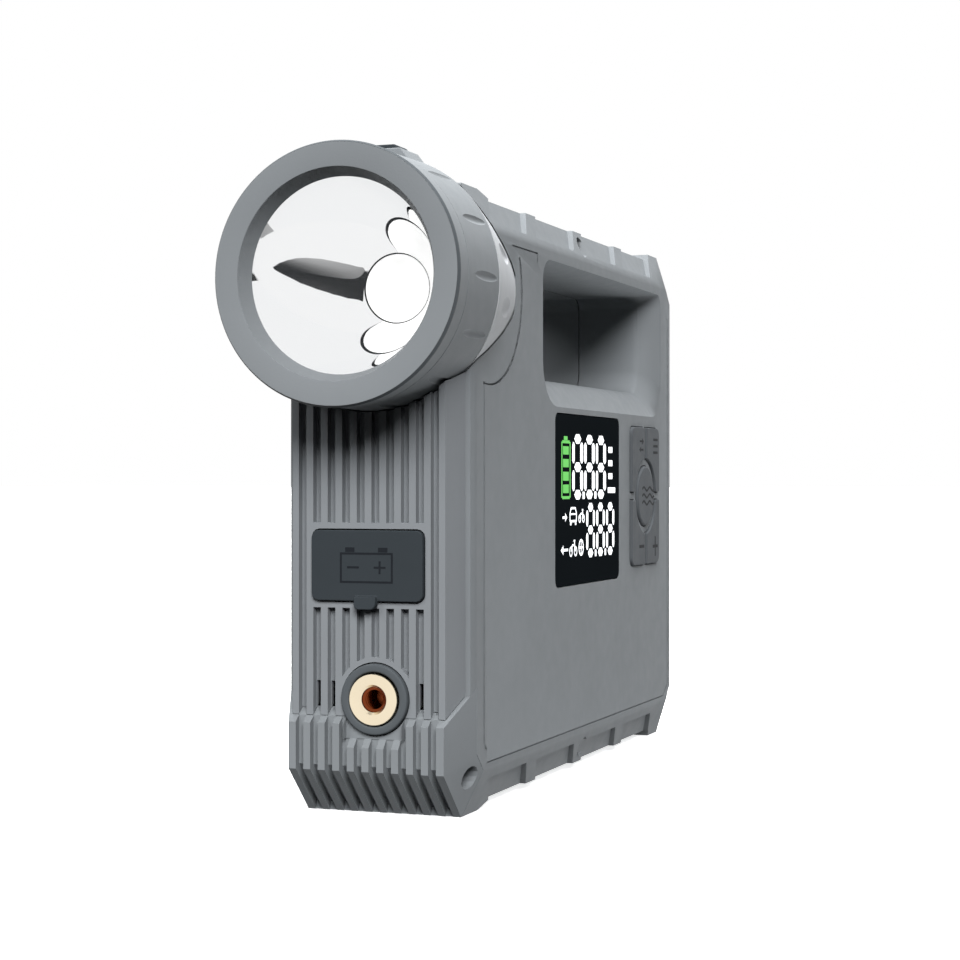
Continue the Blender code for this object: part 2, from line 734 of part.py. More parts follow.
def display():
    low_y, high_y, low_z, high_z = WINDOW
    outline = rounded_rectangle(FRONT + low_y, FRONT + high_y, low_z, high_z, [WINDOW_RADIUS] * 4, 4)
    finish(prism("display_window", outline, "X", SIDE_HALF - 1.8, SIDE_HALF), BLACK, 0.08)
    module = block("display_module", (19.0, 21.9), (FRONT + 74.0, FRONT + 127.0), (55.0, 93.0))
    finish(module, BLACK, 0.4)
    board = block("control_board", (17.0, 18.6), (FRONT + 70.0, FRONT + 174.0), (50.0, 97.0))
    finish(board, BOARD_GREEN, 0.5)


def keys():
    for name, points in key_outlines(0.0).items():
        low, high = KEY_BACK, SIDE_HALF + KEY_PROUD
        middle = [sum(point[axis] for point in points) / len(points) for axis in (0, 1)]
        key = prism(name, points, "X", low, high, (low, *middle))
        finish(key, DARK_GREY, 0.55)
    centre = key_centre()
    face = SIDE_HALF + KEY_PROUD
    profile = [(0, KEY_BACK), (KEY_ROUND, KEY_BACK), (KEY_ROUND, face - 0.4)]
    profile += [(KEY_ROUND - 0.4, face), (0, face)]
    finish(turned("key_air", profile, "X", centre, 32, (KEY_BACK, *centre[1:])), DARK_GREY, 0.55, 0.0, True)
    y, z = centre[1], centre[2]
    pad = block("key_pad", (18.9, KEY_BACK - KEY_TRAVEL - 0.1), (y - 16.0, y + 16.0), (z - 21.5, z + 21.5))
    finish(pad, RUBBER, 0.7)


# ---------------------------------------------------------------- jump lead socket and ports


def cover_outline(half, low, high, grow):
    return rounded_rectangle(-half - grow, half + grow, low - grow, high + grow, [COVER_CORNER + grow] * 4, 3)


def flap(name, half, low, high, end, tab_half, tab_proud):
    """A rubber cover hinged along its top edge, with a pull tab. Depths run inwards from its end."""
    face, inward = (FRONT, 1.0) if end == "front" else (REAR, -1.0)
    depths = sorted(face + inward * depth for depth in (COVER_FRONT, COVER_FRONT + COVER_THICK))
    pivot = (0.0, face + inward * (COVER_FRONT + GAP), high - GAP)
    cover = prism(name, cover_outline(half, low, high, 0.0), "Y", *depths, pivot)
    back = PANEL_INSET[1] - GAP
    tab = [(-tab_proud, low - 1.9), (back, low - 1.9), (back, low + 0.1), (back + 0.8, low + 0.1)]
    tab += [(back + 0.8, low + 1.2), (0.5 - tab_proud, low + 1.2)]
    tab = [(face + inward * depth, height) for depth, height in tab]
    tab = prism("tab_" + name, tab, "X", -tab_half - 1.0, tab_half + 1.0)
    front_view = rounded_rectangle(-tab_half, tab_half, low - 1.9, low + 4.0, [1.2, 1.2, 0.5, 0.5], 3)
    keep_inside(tab, prism("zone_tab_" + name, front_view, "Y", min(depths) - 9.0, max(depths) + 9.0))
    add_to(cover, tab)
    finish(cover, RUBBER, 0.7)


def jump_socket():
    flap("jump_socket_cover", COVER_HALF, COVER_BOTTOM, COVER_TOP, "front", 2.75, 0.8)
    low, high = FRONT + 4.0, FRONT + 24.0
    middle = (COVER_BOTTOM + COVER_TOP) / 2
    corners = [(-10.0, 7.0), (-13.0, 4.0), (-13.0, -7.0), (13.0, -7.0), (13.0, 4.0), (10.0, 7.0)]
    outline = [(a, middle + b) for a, b in corners]
    socket = prism("jump_socket", outline, "Y", low, high)
    for name, x in (("negative", -6.4), ("positive", 6.4)):
        cut(socket, disc("bore_" + name, 3.4, -1.0, 18.0, "Y", (x, low, middle), 20))
        contact = ((2.3, 6.0), (3.0, 6.0), (3.0, 17.5), (0, 17.5), (0, 15.0), (2.3, 15.0))
        sleeve = turned("socket_contact_" + name, contact, "Y", (x, low, middle), 16)
        finish(sleeve, BRASS, 0.25, 1.0, True)
    finish(socket, CELL_BLUE, 0.45)


def rear_ports():
    flap("port_cover", *PORT_COVER, "rear", 2.5, 0.0)
    back = REAR - 17.0
    usb_a = block("usb_a_port", (-7.0, 7.0), (back + 0.3, REAR - 4.0), (59.0, 66.4))
    cut(usb_a, block("slot_usb_a", (-6.3, 6.3), (REAR - 14.0, REAR), (59.7, 65.7)))
    finish(usb_a, STEEL, 0.3, 1.0)
    outline = rounded_rectangle(-4.6, 4.6, 47.4, 50.8, [1.6] * 4, 4)
    usb_c = prism("usb_c_port", outline, "Y", back + 0.3, REAR - 4.0)
    inner = rounded_rectangle(-4.2, 4.2, 47.8, 50.4, [1.2] * 4, 4)
    cut(usb_c, prism("slot_usb_c", inner, "Y", REAR - 11.0, REAR))
    finish(usb_c, STEEL, 0.3, 1.0)
    board = block("port_board", (-12.0, 12.0), (back - 1.6, back), (40.0, 74.0))
    finish(board, BOARD_GREEN, 0.5)


# ---------------------------------------------------------------- inflator


def air_outlet():
    centre = (OUTLET_X, FRONT, OUTLET_Z)
    profile = (
        (3.5, 0.0),
        (FITTING_RADIUS - 0.4, 0.0),
        (FITTING_RADIUS, 0.4),
        (FITTING_RADIUS, 5.0),
        (4.8, 5.0),
        (4.8, 14.0),
        (2.6, 14.0),
        (2.6, 20.0),
        (1.2, 20.0),
        (1.2, 9.0),
        (3.0, 9.0),
        (3.0, 0.8),
    )
    finish(turned("air_outlet_fitting", profile, "Y", centre, 28), BRASS, 0.25, 1.0, True)
    collar = ring_solid("air_outlet_ring", FITTING_RADIUS + GAP, RING_RADIUS, 0.6, 4.6, "Y", centre, 28)
    finish(collar, DARK_GREY, 0.5, 0.0, True)


def gear_outline(teeth, centre, turn):
    """Outline (x, z) of a gear with low straight teeth; turn is in tooth pitches."""
    pitch_radius = GEAR_MODULE * teeth / 2
    root, tip = pitch_radius - 0.6, pitch_radius + 0.4
    points = []
    for tooth in range(teeth):
        for share, radius in ((-0.25, root), (-0.14, tip), (0.14, tip), (0.25, root)):
            angle = 2 * math.pi * (tooth + share + turn) / teeth
            points.append((centre[0] + radius * math.sin(angle), centre[1] + radius * math.cos(angle)))
    return points


def gear_distance():
    return GEAR_MODULE * (GEAR_TEETH + PINION_TEETH) / 2 + GEAR_PLAY


def motor_z():
    return GEAR_Z + gear_distance()


def inflator_frame():
    y = FRONT + PLATE_DEPTH
    outline = [(-18.0, 8.0), (18.0, 8.0), (18.0, 70.0), (13.0, 90.0), (-13.0, 90.0), (-18.0, 70.0)]
    frame = prism("inflator_frame", outline, "Y", y, y + PLATE_THICK)
    foot = rectangle(y - 1.0, y + 18.0, 6.0, 9.0)
    add_to(frame, prism("foot_inflator_frame", foot, "X", -14.0, 12.0))
    cut(frame, disc("bore_crank", 2.4, -2, 6, "Y", (0, y, GEAR_Z), 20))
    cut(frame, disc("bore_motor", 3.2, -2, 6, "Y", (0, y, motor_z()), 20))
    finish(frame, ALUMINIUM, 0.45, 1.0)


def inflator_motor():
    centre = (0, FRONT + PLATE_DEPTH + PLATE_THICK + GAP, motor_z())
    radius = MOTOR_RADIUS
    end = MOTOR_LENGTH
    profile = [(0, 0), (radius - 1, 0), (radius, 1), (radius, end - 1)]
    profile += [(radius - 1, end), (5, end), (5, end + 2), (0, end + 2)]
    finish(turned("inflator_motor", profile, "Y", centre, 24), STEEL, 0.35, 1.0, True)


def gear_train():
    y = FRONT + GEAR_DEPTH
    pinion_at = (0.0, y, motor_z())
    # A gap of the pinion faces down and a tooth of the large gear faces up into it.
    outline = gear_outline(PINION_TEETH, (0, motor_z()), 0.5)
    pinion = prism("motor_pinion", outline, "Y", y, y + GEAR_WIDTH, pinion_at)
    add_to(pinion, disc("shaft_pinion", 1.5, GEAR_WIDTH - 1.0, 9.0, "Y", pinion_at, 12, pinion_at))
    finish(pinion, BRASS, 0.35, 1.0)
    gear_at = (0.0, y, GEAR_Z)
    outline = gear_outline(GEAR_TEETH, (0, GEAR_Z), 0.0)
    gear = prism("crank_gear", outline, "Y", y, y + GEAR_WIDTH, gear_at)
    pin_at = (0.0, y, GEAR_Z - CRANK_THROW)
    add_to(gear, disc("pin_crank", 1.8, -3.0, 1.0, "Y", pin_at, 16, gear_at))
    add_to(gear, disc("shaft_crank", 2.0, GEAR_WIDTH - 1.0, 10.0, "Y", gear_at, 16, gear_at))
    finish(gear, NYLON, 0.5)


def piston_and_cylinder():
    axis = (0.0, FRONT + CYLINDER_DEPTH, 0.0)
    crown = CYLINDER_BOTTOM + 1.0
    rest = (0.0, axis[1], crown)
    profile = ((0, 0), (BORE_RADIUS - GAP, 0), (BORE_RADIUS - GAP, 6.0), (0, 6.0))
    piston = turned("piston_rod", profile, "Z", rest, 20)
    big_end = GEAR_Z - CRANK_THROW
    rod = rectangle(-2.2, 2.2, crown + 5.0, big_end)
    add_to(piston, prism("rod_piston", rod, "Y", axis[1] - 2.0, axis[1] + 2.0))
    add_to(piston, disc("eye_piston", 4.2, -2.0, 2.0, "Y", (0, axis[1], big_end), 16))
    finish(piston, ALUMINIUM, 0.4, 1.0)
    outer = BORE_RADIUS + 1.6
    fins = [(BORE_RADIUS, CYLINDER_BOTTOM), (outer, CYLINDER_BOTTOM)]
    for start in (15.5, 20.5, 25.5):
        fins += [(outer, start), (outer + 0.9, start), (outer + 0.9, start + 1.6), (outer, start + 1.6)]
    fins += [(outer, CYLINDER_TOP), (BORE_RADIUS, CYLINDER_TOP)]
    finish(turned("inflator_cylinder", fins, "Z", axis, 20), ALUMINIUM, 0.4, 1.0, True)
    head_top = CYLINDER_BOTTOM - GAP
    head = disc("cylinder_head", outer + 0.6, 5.6, head_top, "Z", axis, 20)
    port = disc("port_cylinder_head", 2.0, -16.0, -6.0, "Y", (OUTLET_X, axis[1], 8.6), 16)
    add_to(head, port)
    finish(head, ALUMINIUM, 0.4, 1.0)


def air_hose():
    """Soft tube from the cylinder head's port up to the outlet fitting, straight where it meets them."""
    lead = 1.0
    low = (OUTLET_X, FRONT + CYLINDER_DEPTH - 16.4, 8.6)
    high = (OUTLET_X, FRONT + 20.4, OUTLET_Z)
    start = (low[0], low[1] - lead, low[2])
    end = (high[0], high[1] + lead, high[2])
    reach = 8.0
    controls = (start, (start[0], start[1] - reach, start[2]), (end[0], end[1] + reach, end[2]), end)
    count = 9
    places = [low]
    for index in range(count):
        share = index / (count - 1)
        weights = ((1 - share) ** 3, 3 * share * (1 - share) ** 2, 3 * share**2 * (1 - share), share**3)
        places.append([sum(w * c[axis] for w, c in zip(weights, controls)) for axis in range(3)])
    places.append(high)
    curve = bpy.data.curves.new("air_hose", "CURVE")
    curve.dimensions = "3D"
    curve.bevel_depth = 2.3 * MM
    curve.bevel_resolution = 2
    curve.use_fill_caps = True
    spline = curve.splines.new("POLY")
    spline.points.add(len(places) - 1)
    for point, place in zip(spline.points, places):
        point.co = (*(value * MM for value in place), 1.0)
    hose = bpy.data.objects.new("air_hose", curve)
    bpy.context.scene.collection.objects.link(hose)
    finish(hose, BLACK, 0.6)


# ---------------------------------------------------------------- battery and boards


def battery():
    low, high = FRONT + 113.0, FRONT + 168.0
    bottom, top = 15.0, 95.0
    thick, pitch, first = 10.4, 10.8, -20.2
    for index in range(3):
        x = first + index * pitch
        cell = block("battery_cell_%d" % (index + 1), (x, x + thick), (low, high), (bottom, top))
        finish(cell, CELL_BLUE, 0.35)
    wall = 1.4
    outer = rectangle(low - GAP - wall, high + GAP + wall, bottom - GAP - wall, bottom + 24.0)
    tray = prism("battery_tray", outer, "X", first, first + 2 * pitch + thick)
    inner = rectangle(low - GAP, high + GAP, bottom - GAP, bottom + 30.0)
    cut(tray, prism("cutter_battery_tray", inner, "X", -30.0, 30.0))
    finish(tray, BLACK, 0.5)


def main_board():
    board = block("main_board", (14.2, 15.8), (FRONT + 66.0, FRONT + 168.0), (12.0, 92.0))
    coil = disc("coil_main_board", 7.0, -9.0, 1.0, "X", (14.2, FRONT + 84.0, 32.0), 24)
    add_to(board, coil)
    finish(board, BOARD_GREEN, 0.5)


def main():
    clear_scene()
    bores = list(screw_bores())
    shells(bores)
    front_panel()
    front_bumper(bores)
    rear_panel()
    shell_screws()
    lamp_housing()
    lamp_front()
    lamp_mirror()
    lamp_inside()
    lamp_switch()
    display()
    keys()
    jump_socket()
    rear_ports()
    air_outlet()
    inflator_frame()
    inflator_motor()
    gear_train()
    piston_and_cylinder()
    air_hose()
    battery()
    main_board()


main()
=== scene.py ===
"""Looks of the jump starter pack: finishes, lamp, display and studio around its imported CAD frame."""

import json
import math

import bmesh
import bpy
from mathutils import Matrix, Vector


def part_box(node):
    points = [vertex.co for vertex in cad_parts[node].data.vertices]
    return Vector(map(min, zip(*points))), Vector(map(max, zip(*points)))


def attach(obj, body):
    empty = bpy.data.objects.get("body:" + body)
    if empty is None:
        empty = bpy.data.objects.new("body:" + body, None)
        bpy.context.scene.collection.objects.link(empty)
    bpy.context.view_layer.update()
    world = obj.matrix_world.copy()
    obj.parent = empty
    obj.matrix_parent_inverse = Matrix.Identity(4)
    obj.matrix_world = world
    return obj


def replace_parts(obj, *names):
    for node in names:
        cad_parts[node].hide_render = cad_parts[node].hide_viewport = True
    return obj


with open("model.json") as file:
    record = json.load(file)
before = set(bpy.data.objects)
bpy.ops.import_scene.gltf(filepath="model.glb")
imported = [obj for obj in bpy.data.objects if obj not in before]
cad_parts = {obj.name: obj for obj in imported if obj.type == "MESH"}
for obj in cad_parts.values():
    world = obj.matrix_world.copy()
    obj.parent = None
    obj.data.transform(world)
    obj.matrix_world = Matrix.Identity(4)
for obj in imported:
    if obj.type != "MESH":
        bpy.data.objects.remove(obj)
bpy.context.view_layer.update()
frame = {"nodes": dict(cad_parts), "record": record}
NODES = frame["nodes"]

MM = 0.001

# Rows and columns of a dimple's mesh; places across a dimple run from -1 to 1.
DIMPLE_ROWS = 22
DIMPLE_PLACES = (-1.0, -0.85, -0.6, -0.3, 0.0, 0.3, 0.6, 0.85, 1.0)
BETWEEN_DIMPLES = 5
LEAST_HALF_WIDTH = 0.01
MIRROR_STEPS = 60

# Facets round a turned piece.
MIRROR_FACETS = 256
LAMP_FACETS = 160
SMALL_FACETS = 128
LINER_FACETS = 96

# Angles in degrees between faces: edges of a new piece stay sharp from the first three, by kind.
PRISM_SHARP = 35.0
TURNED_SHARP = 30.0
DIMPLED_SHARP = 28.0
BEVEL_FROM = 25.0
SAME_PLANE = 0.6

# Welding reach in metres; the rest is in millimetres.
WELD_REACH = 1e-6
MARK_THICKNESS = 0.03
COVER_SETBACK = 0.8
COVER_MARK_DROP = 8.35

# Planes and centres read from the frame, in millimetres.
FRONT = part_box("front_bumper")[0].y / MM
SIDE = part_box("right_shell")[1].x / MM
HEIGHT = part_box("left_shell")[1].z / MM
LAMP_Z = (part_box("lamp_barrel")[0].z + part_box("lamp_barrel")[1].z) / 2 / MM
BARREL_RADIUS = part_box("lamp_barrel")[1].x / MM
OUTLET = (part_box("air_outlet_ring")[0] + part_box("air_outlet_ring")[1]) / 2 / MM
KEY_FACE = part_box("key_air")[1].x / MM
COVER_FACE = FRONT + COVER_SETBACK
COVER_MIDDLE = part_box("jump_socket_cover")[1].z / MM - COVER_MARK_DROP

# Layers along X of the lit marks on the window and the dark signs on the keys.
MARK_LAYER = (SIDE, SIDE + MARK_THICKNESS)
KEY_MARK_LAYER = (KEY_FACE, KEY_FACE + MARK_THICKNESS)

# How a point of an outline and its place along the axis become x, y and z.
ALONG = {
    "X": lambda a, b, c: (c, a, b),
    "Y": lambda a, b, c: (a, c, b),
    "Z": lambda a, b, c: (a, b, c),
}


# ---------------------------------------------------------------- meshes


def add_mesh(name, bm, smooth_angle=PRISM_SHARP):
    """A new object from a bmesh in millimetres, in the frame's axes."""
    bmesh.ops.scale(bm, vec=(MM, MM, MM), verts=bm.verts)
    bmesh.ops.recalc_face_normals(bm, faces=bm.faces)
    mesh = bpy.data.meshes.new(name)
    bm.to_mesh(mesh)
    bm.free()
    mesh.shade_smooth()
    mesh.set_sharp_from_angle(angle=math.radians(smooth_angle))
    obj = bpy.data.objects.new(name, mesh)
    bpy.context.scene.collection.objects.link(obj)
    return obj


def skin(bm, rings, closed=True):
    """Faces between each ring and the next, and closed: last to first. A ring may be a single point."""
    pairs = list(zip(rings, rings[1:])) + ([(rings[-1], rings[0])] if closed else [])
    for one, two in pairs:
        count = max(len(one), len(two))
        for index in range(count):
            after = (index + 1) % count
            near = [one[index % len(one)], one[after % len(one)]]
            far = [two[after % len(two)], two[index % len(two)]]
            bm.faces.new(list(dict.fromkeys(near + far)))


def add_prism(bm, outline, axis, low, high):
    """Extrudes an outline along X, Y or Z; outline points are the other two axes in order."""
    place = ALONG[axis]
    bottom = [bm.verts.new(place(a, b, low)) for a, b in outline]
    top = [bm.verts.new(place(a, b, high)) for a, b in outline]
    bm.faces.new(bottom)
    bm.faces.new(top[::-1])
    skin(bm, [bottom, top], closed=False)


def arc(centre, radius, start, end, steps):
    """Points along an arc, with its angles in degrees."""
    angles = [math.radians(start + (end - start) * index / steps) for index in range(steps + 1)]
    return [(centre[0] + radius * math.cos(a), centre[1] + radius * math.sin(a)) for a in angles]


def rounded_box(low_a, high_a, low_b, high_b, radius, steps=5):
    """Outline of a box with round corners, from its lows and highs along the two axes."""
    corners = ((high_a - radius, high_b - radius, 0), (low_a + radius, high_b - radius, 90))
    corners += ((low_a + radius, low_b + radius, 180), (high_a - radius, low_b + radius, 270))
    points = []
    for a, b, start in corners:
        points += arc((a, b), radius, start, start + 90, steps)
    return points


def stroke(points, width_at):
    """Outline of a polyline, mitred at its corners; width_at gives the width at a point's index."""
    left, right = [], []
    for index, point in enumerate(points):
        before = Vector(points[max(index - 1, 0)])
        after = Vector(points[min(index + 1, len(points) - 1)])
        here = Vector(point)
        into = (here - before).normalized() if index else (after - here).normalized()
        out = (after - here).normalized() if index < len(points) - 1 else into
        normal = Vector((-into.y - out.y, into.x + out.x)).normalized()
        reach = width_at(index) / 2 / max(normal.dot(Vector((-into.y, into.x))), 0.5)
        left.append(tuple(here + normal * reach))
        right.append(tuple(here - normal * reach))
    return left + right[::-1]


def strip(bm, points, width, axis, low, high):
    """Prisms along a polyline; width is a number or a function of the point's index."""
    width_at = width if callable(width) else (lambda index: width)
    outline = stroke(points, width_at)
    count = len(points)
    rings = []
    for index in range(count):
        one, two = outline[index], outline[2 * count - 1 - index]
        corners = ((one, low), (one, high), (two, high), (two, low))
        rings.append([bm.verts.new(ALONG[axis](*point, level)) for point, level in corners])
    skin(bm, rings, closed=False)
    bm.faces.new(rings[0])
    bm.faces.new(rings[-1][::-1])


def turned(name, profile, facets=LAMP_FACETS, centre=(0.0, LAMP_Z), pole=False):
    """A solid turned about an axis along Y from (radius, y) points.

    The profile is closed, or starts and ends on the axis where pole is true.
    """
    bm = bmesh.new()
    rings = []
    for radius, y in profile:
        count = facets if radius > 0.0 else 1
        points = []
        for angle in [2 * math.pi * index / facets for index in range(count)]:
            points.append((centre[0] + radius * math.cos(angle), y, centre[1] + radius * math.sin(angle)))
        rings.append([bm.verts.new(point) for point in points])
    skin(bm, rings, closed=not pole)
    return add_mesh(name, bm, TURNED_SHARP)


def dimpled(name, profile, dimples):
    """Like turned about the lamp's axis, with a ring of long dimples in the profile's first stretch.

    dimples holds their count, first angle, middle along Y, half length, half width and depth.
    """
    count, first, centre_y, half_length, half_width, depth = dimples
    (start_radius, start_y), (end_radius, end_y) = profile[:2]
    rows = [(start_radius, start_y, 0.0)]
    for step in range(DIMPLE_ROWS + 1):
        lean = -math.cos(math.pi * step / DIMPLE_ROWS)
        y = centre_y + half_length * lean
        radius = start_radius + (end_radius - start_radius) * (y - start_y) / (end_y - start_y)
        rows.append((radius, y, math.sqrt(max(1 - lean**2, 0.0))))
    rows += [(radius, y, 0.0) for radius, y in profile[1:]]
    bm = bmesh.new()
    rings = []
    for radius, y, swell in rows:
        half_angle = max(swell * half_width, LEAST_HALF_WIDTH) / radius
        ring = []
        for index in range(count):
            middle = math.radians(first) + 2 * math.pi * index / count
            for place in DIMPLE_PLACES:
                sunk = depth * swell * (1 - place**2)
                ring.append((middle + place * half_angle, radius - sunk))
            rest = 2 * math.pi / count - 2 * half_angle
            for step in range(1, BETWEEN_DIMPLES + 1):
                ring.append((middle + half_angle + rest * step / (BETWEEN_DIMPLES + 1), radius))
        points = [(r * math.cos(angle), y, LAMP_Z + r * math.sin(angle)) for angle, r in ring]
        rings.append([bm.verts.new(point) for point in points])
    skin(bm, rings)
    return add_mesh(name, bm, DIMPLED_SHARP)


def hidden(obj):
    """Keeps a cutter out of the pictures."""
    obj.hide_render = True
    obj.display_type = "WIRE"
    return obj


# ---------------------------------------------------------------- materials

EVEN = (1.0, 1.0, 1.0)
WHITE = (1.0, 1.0, 1.0, 1.0)
BLUE = (0.10, 0.22, 0.48)
NEAR_BLACK = (0.012, 0.014, 0.016)
SHEEN_SPREAD = 0.05
METAL_SHEEN = (0.75, 1.25)

# The middle part of a noise's values, where most of them lie.
NOISE_LOW = 0.3
NOISE_HIGH = 0.7


def new_material(name, colour, roughness, metallic=0.0):
    """A new material, with its node tree and its shader."""
    material = bpy.data.materials.new(name)
    material.use_nodes = True
    shader = material.node_tree.nodes["Principled BSDF"]
    shader.inputs["Base Color"].default_value = (*colour, 1.0)
    shader.inputs["Roughness"].default_value = roughness
    shader.inputs["Metallic"].default_value = metallic
    return material, material.node_tree, shader


def noise(tree, scale, detail=3.0, stretch=EVEN):
    """A noise value in the piece's own coordinates, stretched by axis."""
    coordinates = tree.nodes.new("ShaderNodeTexCoord")
    mapping = tree.nodes.new("ShaderNodeMapping")
    mapping.inputs["Scale"].default_value = stretch
    texture = tree.nodes.new("ShaderNodeTexNoise")
    texture.inputs["Scale"].default_value = scale
    texture.inputs["Detail"].default_value = detail
    tree.links.new(coordinates.outputs["Object"], mapping.inputs["Vector"])
    tree.links.new(mapping.outputs["Vector"], texture.inputs["Vector"])
    return texture.outputs["Fac"]


def ranged(tree, value, low, high):
    """Maps the middle part of a noise's values to low..high."""
    node = tree.nodes.new("ShaderNodeMapRange")
    node.inputs["From Min"].default_value = NOISE_LOW
    node.inputs["From Max"].default_value = NOISE_HIGH
    node.inputs["To Min"].default_value = low
    node.inputs["To Max"].default_value = high
    tree.links.new(value, node.inputs["Value"])
    return node.outputs["Result"]


def vary_colour(tree, shader, colour, value, spread):
    """Base colour between a darker and a lighter shade of colour, by value; gives the mix node."""
    mix = tree.nodes.new("ShaderNodeMix")
    mix.data_type = "RGBA"
    mix.inputs["A"].default_value = (*[c * (1 - spread) for c in colour], 1.0)
    mix.inputs["B"].default_value = (*[min(c * (1 + spread), 1.0) for c in colour], 1.0)
    tree.links.new(value, mix.inputs["Factor"])
    tree.links.new(mix.outputs["Result"], shader.inputs["Base Color"])
    return mix


def bump(tree, shader, value, distance):
    """Relief by value, as deep as distance in metres."""
    node = tree.nodes.new("ShaderNodeBump")
    node.inputs["Distance"].default_value = distance
    node.inputs["Strength"].default_value = 1.0
    tree.links.new(value, node.inputs["Height"])
    tree.links.new(node.outputs["Normal"], shader.inputs["Normal"])


def moulded(name, colour, roughness=0.55, grain=0.02, grain_scale=2400.0, specular=0.12):
    """Moulded plastic or rubber: spark grain, faint cloudy colour and uneven sheen."""
    material, tree, shader = new_material(name, colour, roughness)
    shader.inputs["Specular IOR Level"].default_value = specular
    vary_colour(tree, shader, colour, ranged(tree, noise(tree, 45.0), 0.0, 1.0), 0.025)
    sheen = ranged(tree, noise(tree, 260.0), roughness - SHEEN_SPREAD, roughness + SHEEN_SPREAD)
    tree.links.new(sheen, shader.inputs["Roughness"])
    bump(tree, shader, noise(tree, grain_scale, 2.0), grain * MM)
    return material


def machined(name, colour, roughness, stretch, scale, groove):
    """Metal with fine drawn or turned marks, stretched across them."""
    material, tree, shader = new_material(name, colour, roughness, 1.0)
    marks = noise(tree, scale, 4.0, stretch)
    low, high = METAL_SHEEN
    tree.links.new(ranged(tree, marks, roughness * low, roughness * high), shader.inputs["Roughness"])
    vary_colour(tree, shader, colour, ranged(tree, noise(tree, 80.0), 0.0, 1.0), 0.04)
    bump(tree, shader, marks, groove * MM)
    return material


def chrome():
    """Vacuum-plated reflector: near-perfect mirror with the faintest ripple."""
    material, tree, shader = new_material("plated_reflector", (0.985, 0.988, 0.99), 0.02, 1.0)
    tree.links.new(ranged(tree, noise(tree, 500.0), 0.01, 0.03), shader.inputs["Roughness"])
    bump(tree, shader, noise(tree, 60.0), 0.0004 * MM)
    return material


def clear():
    """Moulded lens, thin and nearly invisible, with a faint sheen."""
    material, tree, shader = new_material("clear_lens", (0.30, 0.32, 0.34), 0.03)
    shader.inputs["Alpha"].default_value = 0.03
    tree.links.new(ranged(tree, noise(tree, 300.0), 0.02, 0.05), shader.inputs["Roughness"])
    bump(tree, shader, noise(tree, 120.0), 0.002 * MM)
    return material


def lit(name, colour, strength):
    """A lit mark under the window's film, with a slightly uneven glow; the LED's painted glow uses it too.
    """
    material, tree, shader = new_material(name, colour, 0.4)
    shader.inputs["Emission Strength"].default_value = strength
    value = ranged(tree, noise(tree, 500.0), 0.0, 1.0)
    mix = vary_colour(tree, shader, colour, value, 0.03)
    tree.links.new(mix.outputs["Result"], shader.inputs["Emission Color"])
    return material


def board():
    """Solder mask over traces: blocky darker and lighter green with a little relief."""
    material, tree, shader = new_material("solder_mask", (0.02, 0.16, 0.07), 0.35)
    coordinates = tree.nodes.new("ShaderNodeTexCoord")
    bricks = tree.nodes.new("ShaderNodeTexBrick")
    bricks.inputs["Scale"].default_value = 160.0
    bricks.inputs["Color1"].default_value = (0.018, 0.15, 0.065, 1.0)
    bricks.inputs["Color2"].default_value = (0.024, 0.19, 0.08, 1.0)
    bricks.inputs["Mortar"].default_value = (0.05, 0.26, 0.12, 1.0)
    tree.links.new(coordinates.outputs["Object"], bricks.inputs["Vector"])
    tree.links.new(bricks.outputs["Color"], shader.inputs["Base Color"])
    bump(tree, shader, bricks.outputs["Fac"], 0.02 * MM)
    return material


def film(name, colour):
    """Laminated foil pouch in a film wrap: soft wrinkles with painted shade in their troughs, and a low
    sheen.
    """
    material, tree, shader = new_material(name, colour, 0.35)
    wrinkles = noise(tree, 90.0, 5.0, (1.0, 1.0, 0.3))
    # Painted shade: the colour follows the wrinkles' relief, darker in the troughs and lighter on the
    # crests.
    vary_colour(tree, shader, colour, ranged(tree, wrinkles, 0.0, 1.0), 0.08)
    bump(tree, shader, wrinkles, 0.15 * MM)
    return material


SHELL = (0.190, 0.204, 0.215)
PANEL = (0.196, 0.209, 0.222)
FINISHES = {
    "shell_grey": moulded("shell_plastic", SHELL, 0.55),
    "panel_grey": moulded("panel_plastic", PANEL, 0.52),
    "cone_grey": moulded("cone_plastic", (0.42, 0.435, 0.452), 0.5),
    "barrel_grey": moulded("barrel_plastic", SHELL, 0.5),
    "key_grey": moulded("key_plastic", (0.080, 0.087, 0.094), 0.6),
    "cover_rubber": moulded("cover_rubber", (0.032, 0.038, 0.043), 0.7, 0.015, 3200.0, 0.08),
    "window_black": moulded("window_gloss", (0.0080, 0.0102, 0.0120), 0.12, 0.0004, 300.0, 0.0),
    "lens_clear": clear(),
    "mirror_chrome": chrome(),
    "led_white": moulded("white_mask", (0.85, 0.86, 0.86), 0.4, 0.005),
    # Painted light: the LED is off, yet glows so that it reads white where the lamps don't reach it.
    "led_yellow": lit("phosphor", (0.93, 0.93, 0.92), 0.8),
    "aluminium": machined("cast_aluminium", (0.70, 0.71, 0.72), 0.4, EVEN, 1500.0, 0.02),
    "brass": machined("turned_brass", (0.90, 0.78, 0.58), 0.2, (1.0, 12.0, 1.0), 400.0, 0.004),
    "ring_grey": moulded("ring_plastic", (0.075, 0.084, 0.091), 0.5, 0.01),
    "steel": machined("plated_steel", (0.50, 0.51, 0.52), 0.3, (0.1, 1.0, 1.0), 1200.0, 0.006),
    "board_green": board(),
    "socket_blue": moulded("socket_nylon", BLUE, 0.5, 0.01),
    "cell_foil": film("pouch_film", BLUE),
    "black_plastic": moulded("black_plastic", NEAR_BLACK, 0.5),
    "hose_black": moulded("hose_rubber", NEAR_BLACK, 0.65, 0.01),
    "gear_nylon": moulded("gear_nylon", (0.78, 0.76, 0.70), 0.45, 0.008),
}


def paint(obj, material):
    """One material on the whole of a piece."""
    if obj.data.materials:
        for index in range(len(obj.data.materials)):
            obj.data.materials[index] = material
    else:
        obj.data.materials.append(material)


